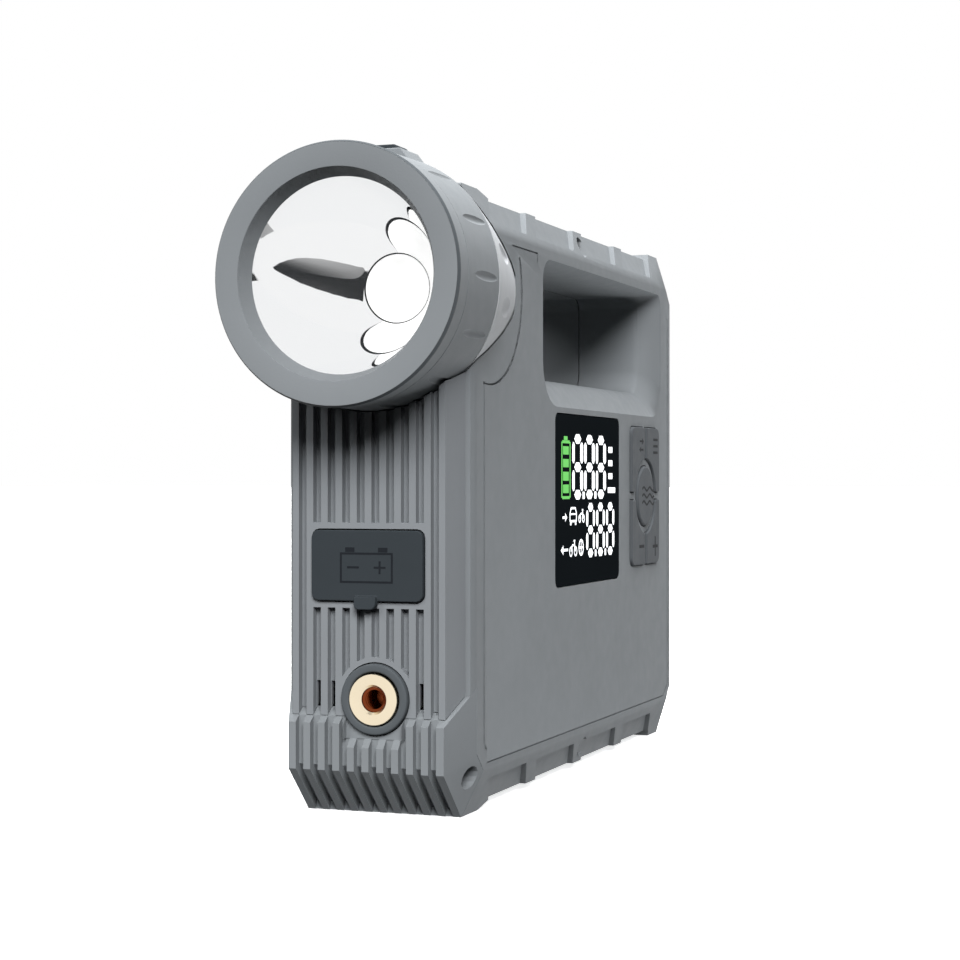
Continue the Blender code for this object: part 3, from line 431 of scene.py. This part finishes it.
def paint_nodes():
    """Every CAD node in its slot's finish; the screws get a near-black steel, as painted shade for the
    dark bores they sit in.
    """
    for subpart in frame["record"]["subparts"]:
        paint(NODES[subpart["node"]], FINISHES[subpart["material_slot"]])
    # Painted shade: the screws' near-black colour stands in for the dark bores they sit in.
    screw_shade = machined("screw_painted_shade", (0.035, 0.036, 0.038), 0.5, EVEN, 1200.0, 0.006)
    for name, obj in NODES.items():
        if name.startswith("shell_screw"):
            paint(obj, screw_shade)


def new_piece(obj, material_slot, body="housing", material=None):
    """Gives a new mesh its finish and body; material stands in for the slot's own finish."""
    paint(obj, material or FINISHES[material_slot])
    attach(obj, body)
    return obj


# ---------------------------------------------------------------- softened CAD nodes


def round_edges(obj, width):
    """Bevels the steep edges and keeps the large faces flat in the shading."""
    bevel = obj.modifiers.new("rounded_edges", "BEVEL")
    bevel.width = width * MM
    bevel.segments = 2
    bevel.limit_method = "ANGLE"
    bevel.angle_limit = math.radians(BEVEL_FROM)
    bevel.use_clamp_overlap = True
    normals = obj.modifiers.new("face_normals", "WEIGHTED_NORMAL")
    normals.keep_sharp = False
    normals.weight = 100


def dissolve(obj, name):
    """Joins neighbouring faces that lie in one plane."""
    whole = obj.modifiers.new(name, "DECIMATE")
    whole.decimate_type = "DISSOLVE"
    whole.angle_limit = math.radians(SAME_PLANE)


def soften(name, width):
    """Rounds a CAD node's edges: welds it, makes its flat faces whole again and bevels what is left."""
    obj = NODES[name]
    obj.data.shade_smooth()
    weld = obj.modifiers.new("weld", "WELD")
    weld.merge_threshold = WELD_REACH
    dissolve(obj, "whole_faces")
    round_edges(obj, width)


# ---------------------------------------------------------------- lamp


def at_depth(profile):
    """Moves a profile of (radius, depth behind the front face) into the frame."""
    return [(radius, FRONT + depth) for radius, depth in profile]


def lamp_bezel():
    """Flat-faced bezel, and a dark ring round its outer edge, laid on as painted shade for its dark rim.
    """
    profile = arc((24.5, -17.55), 0.25, 180.0, 270.0, 3)
    profile += [(29.9, -17.8), (29.9, -16.6), (30.3, -16.5), (30.15, -11.2), (27.1, -11.1)]
    profile += [(27.1, -5.0), (26.0, -5.0), (26.0, -13.6), (22.6, -13.6)]
    bezel = new_piece(turned("smooth_bezel", at_depth(profile)), "barrel_grey")
    bezel.visible_glossy = False
    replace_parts(bezel, "lamp_bezel")
    # Painted shade: a dark ring over the bezel's outer chamfer, where the rim reads dark.
    profile = [(29.95, -17.75), (30.35, -17.1), (30.35, -16.65), (29.95, -16.65)]
    edge = new_piece(turned("bezel_painted_shade_ring", at_depth(profile)), "ring_grey")
    edge.visible_glossy = False


def lamp_barrel():
    """Barrel with fourteen narrow dimples."""
    profile = [(30.1, -10.8), (BARREL_RADIUS, 8.45), (27.4, 8.45), (27.4, -10.8)]
    dimples = (14, 0.0, FRONT, 7.0, 1.15, 0.5)
    barrel = new_piece(dimpled("dimpled_barrel", at_depth(profile), dimples), "barrel_grey")
    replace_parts(barrel, "lamp_barrel")


def lamp_cone():
    """Pale cone with thirteen wide dimples."""
    profile = [(BARREL_RADIUS, 9.0), (24.0, 38.7), (4.0, 38.7), (4.0, 36.3)]
    profile += [(21.0, 36.3), (25.4, 16.0), (25.4, 2.0), (27.1, 2.0), (27.1, 9.0)]
    dimples = (13, 16.7, FRONT + 24.0, 6.5, 2.5, 0.8)
    cone = new_piece(dimpled("dimpled_cone", at_depth(profile), dimples), "cone_grey")
    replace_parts(cone, "lamp_housing")


def lamp_key_boss():
    """Raised boss round the lamp's key, with a pocket for it."""
    bm = bmesh.new()
    sides = [(-9.6, 153.0), (9.6, 153.0), (5.2, 158.8), (-5.2, 158.8)]
    add_prism(bm, sides, "Y", FRONT + 9.1, FRONT + 20.5)
    boss = new_piece(add_mesh("key_boss", bm), "barrel_grey")
    bm = bmesh.new()
    add_prism(bm, rounded_box(-3.8, 3.8, FRONT + 10.6, FRONT + 19.0, 0.8), "Z", 149.0, 165.0)
    pocket = boss.modifiers.new("pocket", "BOOLEAN")
    pocket.object = hidden(add_mesh("pocket_cutter", bm))
    round_edges(boss, 0.35)


def lamp_mirror():
    """The parabola through the mouth and the base circle, as a thin smooth shell with a flange."""
    mouth, base, front, rear = 23.8, 8.65, -11.3, 19.7
    growth = (mouth**2 - base**2) / (rear - front)
    inner = []
    for step in range(MIRROR_STEPS + 1):
        radius = mouth + (base - mouth) * step / MIRROR_STEPS
        inner.append((radius, rear - (radius**2 - base**2) / growth))
    outer = [(radius + 1.0, depth + 0.4) for radius, depth in reversed(inner[1:])]
    flange = [(24.6, -10.0), (25.6, -10.0), (25.6, -11.0), (24.6, front - 0.25), (24.1, front - 0.25)]
    mirror = turned("smooth_mirror", at_depth(inner + outer + flange), MIRROR_FACETS)
    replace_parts(new_piece(mirror, "mirror_chrome"), "lamp_mirror")
    seat = [(8.4, 20.0), (9.3, 20.15), (9.3, 20.45), (8.4, 20.45)]
    new_piece(turned("led_seat_ring", at_depth(seat), SMALL_FACETS), "black_plastic")


def lamp_lens():
    """Clear disc, flat in front and hollowed a little at the back."""
    rim = [(0.0, -13.4), (24.9, -13.4), (25.6, -12.9), (25.7, -12.3), (25.7, -11.7), (0.0, -11.9)]
    lens = new_piece(turned("clear_lens_disc", at_depth(rim), pole=True), "lens_clear")
    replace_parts(lens, "lamp_lens")


def lamp_led():
    """Round chip-on-board LED that fills the mirror's base circle, glowing as painted light though it is
    off.
    """
    profile = [(0.0, 19.6), (7.9, 19.7), (8.3, 19.9), (8.35, 20.3), (0.0, 20.35)]
    led = new_piece(turned("led_disc", at_depth(profile), SMALL_FACETS, pole=True), "led_yellow")
    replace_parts(led, "led_chip")


# ---------------------------------------------------------------- air outlet

OUTLET_CENTRE = (OUTLET.x, OUTLET.z)


def outlet_liner():
    """Copper lining in the outlet's bore, with the turns of a thread."""
    outer, crest, root = 2.92, 2.3, 2.75
    turn_count, pitch = 6, 1.1
    profile = [(outer, 0.95)]
    for turn in range(turn_count):
        start = 1.1 + turn * pitch
        profile += [(crest, start + 0.25), (crest, start + 0.45), (root, start + 0.9)]
    profile += [(2.2, 8.2), (0.9, 8.4), (0.9, 8.8), (outer, 8.8)]
    liner = turned("outlet_liner", at_depth(profile), LINER_FACETS, OUTLET_CENTRE)
    # Partly painted shade: the copper's hue is its own, but its darkness, far below bare copper, stands in
    # for the shade deep in the bore.
    copper = machined("copper_with_bore_shade", (0.20, 0.045, 0.015), 0.22, (1.0, 10.0, 1.0), 500.0, 0.004)
    new_piece(liner, "brass", material=copper)


def outlet_fitting():
    """Smooth turned face and shank in place of the fitting's facets."""
    profile = [(3.55, 0.0)] + arc((5.6, 0.5), 0.5, 270.0, 360.0, 4)
    profile += [(6.1, 5.0), (4.8, 5.0), (4.8, 14.0), (2.6, 14.0), (2.6, 20.0)]
    profile += [(1.2, 20.0), (1.2, 9.0), (3.0, 9.0), (3.0, 0.55)]
    fitting = turned("turned_fitting", at_depth(profile), SMALL_FACETS, OUTLET_CENTRE)
    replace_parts(new_piece(fitting, "brass"), "air_outlet_fitting")


def outlet_ring():
    """Dark ring with round front edges."""
    profile = [(6.4, 1.0)] + arc((6.9, 1.1), 0.5, 190.0, 270.0, 3) + arc((7.9, 1.1), 0.5, 270.0, 360.0, 4)
    profile += [(8.4, 4.6), (6.4, 4.6)]
    ring = turned("turned_ring", at_depth(profile), SMALL_FACETS, OUTLET_CENTRE)
    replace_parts(new_piece(ring, "ring_grey"), "air_outlet_ring")


# ---------------------------------------------------------------- cover mark


def cover_mark():
    """A plain battery sign with its two poles, printed on the socket cover in place of lettering."""
    ink = moulded("cover_ink", (0.012, 0.014, 0.017), 0.7, 0.005)
    bm = bmesh.new()

    def line(points, width=0.5):
        points = [(a, COVER_MIDDLE + b) for a, b in points]
        strip(bm, points, width, "Y", COVER_FACE - MARK_THICKNESS, COVER_FACE)

    line([(-6.5, 2.6), (-6.5, -3.6)])
    line([(6.5, 2.6), (6.5, -3.6)])
    line([(-6.75, 2.85), (6.75, 2.85)])
    line([(-6.75, -3.85), (6.75, -3.85)])
    for side in (-1, 1):
        line([(side * 4.2 - 1.2, 3.75), (side * 4.2 + 1.2, 3.75)], 1.1)
        line([(side * 3.4 - 1.5, -0.4), (side * 3.4 + 1.5, -0.4)])
    line([(3.4, -0.13), (3.4, 1.1)])
    line([(3.4, -0.67), (3.4, -1.9)])
    new_piece(add_mesh("cover_mark", bm), "black_plastic", "jump_cover", ink)


# ---------------------------------------------------------------- display

# Heights of the bars of the two rows of digits, top to bottom.
UPPER_ROW = (90.85, 83.2, 75.7)
LOWER_ROW = (72.15, 65.9, 59.5)
WHEEL_FACETS = 20
BALL_FACETS = 28


def cell(depth, height):
    """A point of the +X side as (y, z)."""
    return (FRONT + depth, height)


def lying_bar(bm, depth, height, half, thick):
    """A segment with pointed ends, along Y."""
    flat = half * 0.45
    points = [(-half, 0), (-flat, -thick), (flat, -thick), (half, 0), (flat, thick), (-flat, thick)]
    add_prism(bm, [cell(depth + a, height + b) for a, b in points], "X", *MARK_LAYER)


def standing_bar(bm, low, high, bottom, top):
    """A segment with tapered ends, along Z."""
    middle, taper = (low + high) / 2, 0.8
    narrow = (high - low) * 0.2
    points = [(low, bottom + taper), (middle - narrow, bottom)]
    points += [(middle + narrow, bottom), (high, bottom + taper)]
    points += [(high, top - taper), (middle + narrow, top), (middle - narrow, top), (low, top - taper)]
    add_prism(bm, [cell(a, b) for a, b in points], "X", *MARK_LAYER)


def box_mark(bm, low, high, bottom, top):
    """A filled box with round corners."""
    outline = rounded_box(FRONT + low, FRONT + high, bottom, top, 0.25, 3)
    add_prism(bm, outline, "X", *MARK_LAYER)


def line_mark(bm, points, width, layer=MARK_LAYER):
    """A line along points, on the window, or on the keys with their layer."""
    strip(bm, [cell(a, b) for a, b in points], width, "X", *layer)


def ring_mark(bm, centre, radius, width, facets):
    """A closed ring of given outer radius."""
    outer, inner = [], []
    for outline, reach in ((outer, radius), (inner, radius - width)):
        for index in range(facets):
            angle = 2 * math.pi * index / facets
            outline.append(cell(centre[0] + reach * math.cos(angle), centre[1] + reach * math.sin(angle)))
    low, high = MARK_LAYER
    rings = []
    for outline, x in ((outer, low), (outer, high), (inner, high), (inner, low)):
        rings.append([bm.verts.new((x, y, z)) for y, z in outline])
    skin(bm, rings)


def digits(bm, centres, rows, lying, standing, dots):
    """A row of full seven-segment digits at the centres given, with points between them.

    lying holds a lying bar's half length and half thickness, standing how near and how far from the
    centre the standing bars reach, and dots each point's centre, width, bottom and top.
    """
    half, thick = lying
    left, right = standing
    top, middle, bottom = rows
    for centre in centres:
        for height in rows:
            lying_bar(bm, centre, height, half, thick)
        for low, high in ((centre - left[1], centre - left[0]), (centre + right[0], centre + right[1])):
            standing_bar(bm, low, high, middle + thick * 0.8, top - thick * 0.7)
            standing_bar(bm, low, high, bottom + thick * 0.8, middle - thick * 0.7)
    for centre, width, low, high in dots:
        box_mark(bm, centre - width / 2, centre + width / 2, low, high)


def battery_gauge():
    """Outline of a battery with four filled cells, in green."""
    bm = bmesh.new()
    low, high, bottom, top, thick = 76.1, 83.3, 75.0, 89.9, 0.8
    for depth in (low, high):
        line_mark(bm, [(depth, bottom), (depth, top)], thick)
    for height in (bottom, top):
        line_mark(bm, [(low + thick / 2, height), (high - thick / 2, height)], thick)
    box_mark(bm, 77.8, 81.0, 90.35, 91.4)
    for low, high in ((86.5, 88.7), (83.1, 85.3), (79.5, 81.9), (76.2, 78.5)):
        box_mark(bm, 77.1, 82.1, low, high)
    green = lit("lit_green", (0.05, 0.36, 0.03), 0.75)
    new_piece(add_mesh("battery_gauge", bm), "window_black", material=green)


def display_digits(marks):
    """Two rows of three digits, with short bars beside the upper row."""
    bm = bmesh.new()
    dots = ((95.6, 2.0, 74.5, 76.5), (106.65, 2.0, 74.5, 76.5))
    digits(bm, (90.2, 101.1, 112.05), UPPER_ROW, (3.1, 1.3), ((2.8, 4.9), (2.3, 4.9)), dots)
    dots = ((106.9, 1.5, 58.4, 60.3), (116.4, 1.5, 58.4, 60.3))
    digits(bm, (102.1, 111.6, 121.2), LOWER_ROW, (2.4, 1.2), ((2.2, 4.1), (2.2, 4.1)), dots)
    for height in (88.3, 84.5, 80.8):
        box_mark(bm, 119.4, 123.4, height - 0.85, height + 0.85)
    box_mark(bm, 118.8, 126.2, 76.0, 77.6)
    new_piece(add_mesh("display_digits", bm), "window_black", material=marks)


def display_symbols(marks):
    """Arrows in and out, each beside its row of symbols."""
    bm = bmesh.new()
    line_mark(bm, [(76.75, 69.7), (79.0, 69.7)], 0.7)
    add_prism(bm, [cell(79.0, 68.5), cell(80.7, 69.7), cell(79.0, 70.9)], "X", *MARK_LAYER)
    line_mark(bm, [(77.4, 61.0), (81.5, 61.0)], 0.7)
    add_prism(bm, [cell(77.4, 59.7), cell(77.4, 62.3), cell(75.2, 61.0)], "X", *MARK_LAYER)
    car(bm, (86.1, 69.8))
    cycle(bm, (93.7, 69.8), 0.82)
    cycle(bm, (86.15, 61.2), 1.0)
    ball(bm, (93.3, 61.3))
    new_piece(add_mesh("display_symbols", bm), "window_black", material=marks)


def display_marks():
    battery_gauge()
    marks = lit("lit_white", (0.92, 0.94, 0.96), 0.8)
    display_digits(marks)
    display_symbols(marks)


def car(bm, centre):
    """A car seen from the front: body, windscreen and wheels."""
    a, b = centre
    roof = [(-2.9, -1.2), (-2.9, 0.9), (-1.9, 2.3), (1.9, 2.3), (2.9, 0.9), (2.9, -1.2), (-2.9, -1.2)]
    for start, end in zip(roof, roof[1:]):
        line_mark(bm, [(a + start[0], b + start[1]), (a + end[0], b + end[1])], 0.6)
    line_mark(bm, [(a - 2.5, b + 0.7), (a + 2.5, b + 0.7)], 0.45)
    for side in (-1, 1):
        box_mark(bm, a + side * 2.2 - 0.6, a + side * 2.2 + 0.6, b - 2.3, b - 1.5)


def cycle(bm, centre, size):
    """A two-wheeler seen from the side."""
    a, b = centre
    for side in (-1, 1):
        ring_mark(bm, (a + side * 2.1 * size, b - 0.8 * size), 1.4 * size, 0.45, WHEEL_FACETS)
    frame_line = [(-2.1, -0.8), (-0.9, 0.9), (1.3, 0.9), (2.1, -0.8)]
    lines = list(zip(frame_line, frame_line[1:]))
    lines += [((1.3, 0.9), (1.0, 2.1)), ((0.4, 2.1), (1.7, 2.1))]
    for line in lines:
        line_mark(bm, [(a + along * size, b + up * size) for along, up in line], 0.5)


def ball(bm, centre):
    """A plain ball with two seams."""
    a, b = centre
    ring_mark(bm, centre, 2.3, 0.55, BALL_FACETS)
    line_mark(bm, [(a - 1.9, b), (a + 1.9, b)], 0.5)
    line_mark(bm, [(a, b - 1.9), (a, b + 1.9)], 0.5)


# ---------------------------------------------------------------- keys


def line_on_key(bm, points, width):
    line_mark(bm, points, width, KEY_MARK_LAYER)


def key_marks():
    """Plain dark signs on the keys: swap, list, air flow, minus and plus."""
    ink = moulded("key_ink", (0.010, 0.011, 0.013), 0.6, 0.005)
    swap = bmesh.new()
    middle, tip = 151.7, [(0.7, -0.95), (2.5, 0.0), (0.7, 0.95)]
    for height, way in ((91.3, 1), (88.8, -1)):
        line_on_key(swap, [(middle - 1.9 * way, height), (middle + 0.9 * way, height)], 0.55)
        points = [cell(middle + way * a, height + b) for a, b in tip]
        add_prism(swap, points, "X", *KEY_MARK_LAYER)
    menu = bmesh.new()
    for height in (92.0, 90.05, 88.1):
        line_on_key(menu, [(165.0, height), (170.0, height)], 0.75)
    flow = bmesh.new()
    start, length, swell, steps, waves = 152.6, 13.2, 0.55, 24, 2
    for height in (77.0, 74.9, 72.8):
        turns = [step / steps for step in range(steps + 1)]
        rises = [swell * math.sin(2 * math.pi * waves * turn) for turn in turns]
        wave = [(start + length * turn, height + rise) for turn, rise in zip(turns, rises)]
        line_on_key(flow, wave, 0.65)
    minus = bmesh.new()
    line_on_key(minus, [(149.3, 59.8), (154.6, 59.8)], 0.9)
    plus = bmesh.new()
    line_on_key(plus, [(164.4, 59.45), (170.0, 59.45)], 0.9)
    line_on_key(plus, [(167.2, 56.4), (167.2, 58.99)], 0.9)
    line_on_key(plus, [(167.2, 59.91), (167.2, 62.5)], 0.9)
    marks = {"unit": swap, "mode": menu, "air": flow, "minus": minus, "plus": plus}
    for name, bm in marks.items():
        new_piece(add_mesh("mark_" + name, bm), "black_plastic", name + "_key", ink)


# ---------------------------------------------------------------- lines in the shells' sides


def side_lines(side):
    """Cutter for the shallow lines in one side of the body: side is 1 or -1."""
    bm = bmesh.new()
    outside = SIDE + 2.0
    low_edge, high_edge = 12.3, HEIGHT - 12.3
    collar_middle, collar_radius, collar_start, collar_turn, collar_steps = 19.5, 23.8, -100.2, 122.0, 40

    def line(points, width, deep):
        low, high = sorted((side * (SIDE - deep), side * outside))
        strip(bm, [cell(a, b) for a, b in points], width, "X", low, high)

    line([(15.7, 103.0), (15.7, 17.2), (17.5, 15.4)], 0.9, 0.4)
    widths = (0.35, 0.35, 0.9, 0.9)
    points = [(18.0, low_edge), (179.0, low_edge), (184.4, 15.5), (184.4, 130.5)]
    line(points, lambda index: widths[index], 0.4)
    line([(36.0, high_edge), (55.8, high_edge), (55.8, HEIGHT - 14.8)], 0.45, 0.4)
    collar_end = collar_start + collar_turn
    collar = arc((collar_middle, LAMP_Z), collar_radius, collar_start, collar_end, collar_steps)
    # The collar's line is widest where it faces the rear.
    bearings = [(point[0] - collar_middle) / collar_radius for point in collar]
    line(collar, lambda index: 0.45 + 0.85 * max(0.0, bearings[index]), 0.5)
    return hidden(add_mesh("side_lines_%s" % ("right" if side > 0 else "left"), bm))


def add_side_lines():
    """Cuts the lines, then moves the shading's modifier behind the cut."""
    for node_name, side in (("left_shell", -1), ("right_shell", 1)):
        shell = NODES[node_name]
        lines = shell.modifiers.new("side_lines", "BOOLEAN")
        lines.solver = "MANIFOLD"
        lines.object = side_lines(side)
        dissolve(shell, "whole_sides")
        shell.modifiers.move(shell.modifiers.find("face_normals"), len(shell.modifiers) - 1)


# ---------------------------------------------------------------- studio


def camera():
    """Long lens at the body's height, to the right of its front."""
    data = bpy.data.cameras.new("camera")
    data.lens = 76.8
    data.sensor_width = 36.0
    data.clip_start = 0.01
    obj = bpy.data.objects.new("camera", data)
    obj.location = (0.1903, -0.5317, 0.0797)
    obj.rotation_euler = (math.radians(90.0), 0.0, math.radians(20.1))
    bpy.context.scene.collection.objects.link(obj)
    bpy.context.scene.camera = obj


def sky():
    """Plain white surroundings, seen by the camera and by shiny surfaces, that light nothing."""
    world = bpy.data.worlds.new("studio")
    world.use_nodes = True
    world.node_tree.nodes["Background"].inputs["Color"].default_value = WHITE
    world.cycles_visibility.diffuse = False
    bpy.context.scene.world = world


def sun(name, towards, strength, softness):
    """A soft distant light from the direction given; shiny surfaces don't show its disc."""
    data = bpy.data.lights.new(name, "SUN")
    data.energy = strength
    data.angle = math.radians(softness)
    obj = bpy.data.objects.new(name, data)
    obj.rotation_euler = Vector(towards).to_track_quat("Z", "Y").to_euler()
    obj.visible_glossy = False
    bpy.context.scene.collection.objects.link(obj)


def mirror_card():
    """A small shaded card just before the lamp, seen by shiny surfaces only: the mirror's dark streak."""
    bearing, tilt = math.radians(-3.0), math.radians(30.0)
    bezel_plane, clearance = FRONT - 17.5, 8.0
    slant, left_end, upper_span, lower_span = 0.45, 38.0, 64.0, 30.0
    ahead = Vector((math.sin(bearing), -math.cos(bearing), 0.0))
    across = Vector((math.cos(bearing), math.sin(bearing), 0.0))
    upward = ahead * math.sin(tilt) + Vector((0.0, 0.0, math.cos(tilt)))
    middle = Vector((0.0, bezel_plane, LAMP_Z)) + ahead * clearance
    # Both parts share their straight edge; points are (across, upward) from the middle.
    upper = ((-37.5, 0), (4.9, 0), (4.1, 2.4), (-2, 9.6), (-8.6, 15.6), (-18.9, 22.5), (-29, 24.4))
    upper += ((-35.5, 22), (-38.8, 16), (-39.5, 8))
    lower = ((4.9, 0), (-37.5, 0), (-35, -2.8), (-31, -5.4), (-26.5, -7.7), (-18.5, -11.1), (-11.2, -11.9))
    lower += ((-4.4, -10.9), (1.4, -8.4), (7.1, -3.1), (6.3, -1.8))
    bm = bmesh.new()
    shade = bm.loops.layers.uv.new("shade")
    for corners in (upper, lower):
        face = bm.faces.new([bm.verts.new(middle + across * a + upward * b) for a, b in corners])
        for loop, (a, b) in zip(face.loops, corners):
            # The shade runs from the straight edge: slanting in the upper part, square in the lower.
            above, below = (b + slant * (a + left_end)) / upper_span, b / lower_span
            loop[shade].uv = (0.0, 0.5 + (above if corners == upper else below))
    card = add_mesh("mirror_card", bm)
    card.data.materials.append(card_material())
    card.visible_camera = False
    card.visible_diffuse = False
    card.visible_shadow = False


def card_material():
    """Glow that goes from dark at the middle of the ramp to pale at its ends, by the card's own shade."""
    material = bpy.data.materials.new("card_shade")
    material.use_nodes = True
    tree = material.node_tree
    coordinates = tree.nodes.new("ShaderNodeUVMap")
    parts = tree.nodes.new("ShaderNodeSeparateXYZ")
    ramp = tree.nodes.new("ShaderNodeValToRGB")
    glow = tree.nodes.new("ShaderNodeEmission")
    tree.links.new(coordinates.outputs["UV"], parts.inputs["Vector"])
    tree.links.new(parts.outputs["Y"], ramp.inputs["Fac"])
    tree.links.new(ramp.outputs["Color"], glow.inputs["Color"])
    tree.links.new(glow.outputs["Emission"], tree.nodes["Material Output"].inputs["Surface"])
    stops = ((0.1, 0.045), (0.17, 0.032), (0.3, 0.016), (0.43, 0.007), (0.5, 0.007), (0.56, 0.012))
    stops += ((0.61, 0.026), (0.64, 0.048), (0.67, 0.09), (0.72, 0.144), (0.78, 0.24), (0.84, 0.35))
    stops += ((0.91, 0.4), (0.97, 0.48))
    while len(ramp.color_ramp.elements) < len(stops):
        ramp.color_ramp.elements.new(0.5)
    for element, (place, value) in zip(ramp.color_ramp.elements, stops):
        element.position = place
        element.color = (value, value, value, 1.0)
    return material


def floor():
    """A wide pale floor just under the ground plane, with a glow that keeps it evenly bright."""
    half_width, pale = 20.0, (0.95, 0.95, 0.95)
    bm = bmesh.new()
    bmesh.ops.create_grid(bm, x_segments=2, y_segments=2, size=half_width / MM)
    obj = add_mesh("floor", bm)
    material, tree, shader = new_material("floor_white", pale, 0.8)
    shader.inputs["Specular IOR Level"].default_value = 0.0
    vary_colour(tree, shader, pale, ranged(tree, noise(tree, 3.0), 0.0, 1.0), 0.01)
    paint(obj, material)
    shader.inputs["Emission Color"].default_value = WHITE
    shader.inputs["Emission Strength"].default_value = 0.7
    obj.location.z = -0.0002
    obj.visible_diffuse = False
    obj.visible_glossy = False
    obj.visible_shadow = False


def studio():
    """View settings, camera, surroundings and lights: direction, strength and softness in degrees."""
    bpy.context.scene.view_settings.view_transform = "Standard"
    camera()
    sky()
    floor()
    sun("top_light", (0.0, 0.3, 0.95), 7.0, 30.0)
    sun("key_light", (0.36, -0.74, 0.57), 4.8, 30.0)
    sun("left_light", (-0.47, -0.70, 0.54), 1.2, 30.0)
    sun("low_side_light", (0.20, 0.62, -0.76), 2.6, 40.0)
    sun("rim_light", (-0.9, 0.5, 0.4), 1.5, 40.0)
    mirror_card()


SIDE_KEYS = ("key_unit", "key_mode", "key_minus", "key_plus", "key_air")

# CAD nodes by the width of their rounded edges, in millimetres.
ROUNDED = {
    0.5: ("left_shell", "right_shell"),
    0.25: ("front_panel", "front_bumper", "rear_panel"),
    0.3: ("jump_socket_cover", "port_cover", "lamp_key") + SIDE_KEYS,
}

paint_nodes()
for edge_width, node_names in ROUNDED.items():
    for node_name in node_names:
        soften(node_name, edge_width)
add_side_lines()
lamp_bezel()
lamp_barrel()
lamp_cone()
lamp_key_boss()
lamp_mirror()
lamp_lens()
lamp_led()
outlet_fitting()
outlet_ring()
outlet_liner()
cover_mark()
display_marks()
key_marks()
studio()
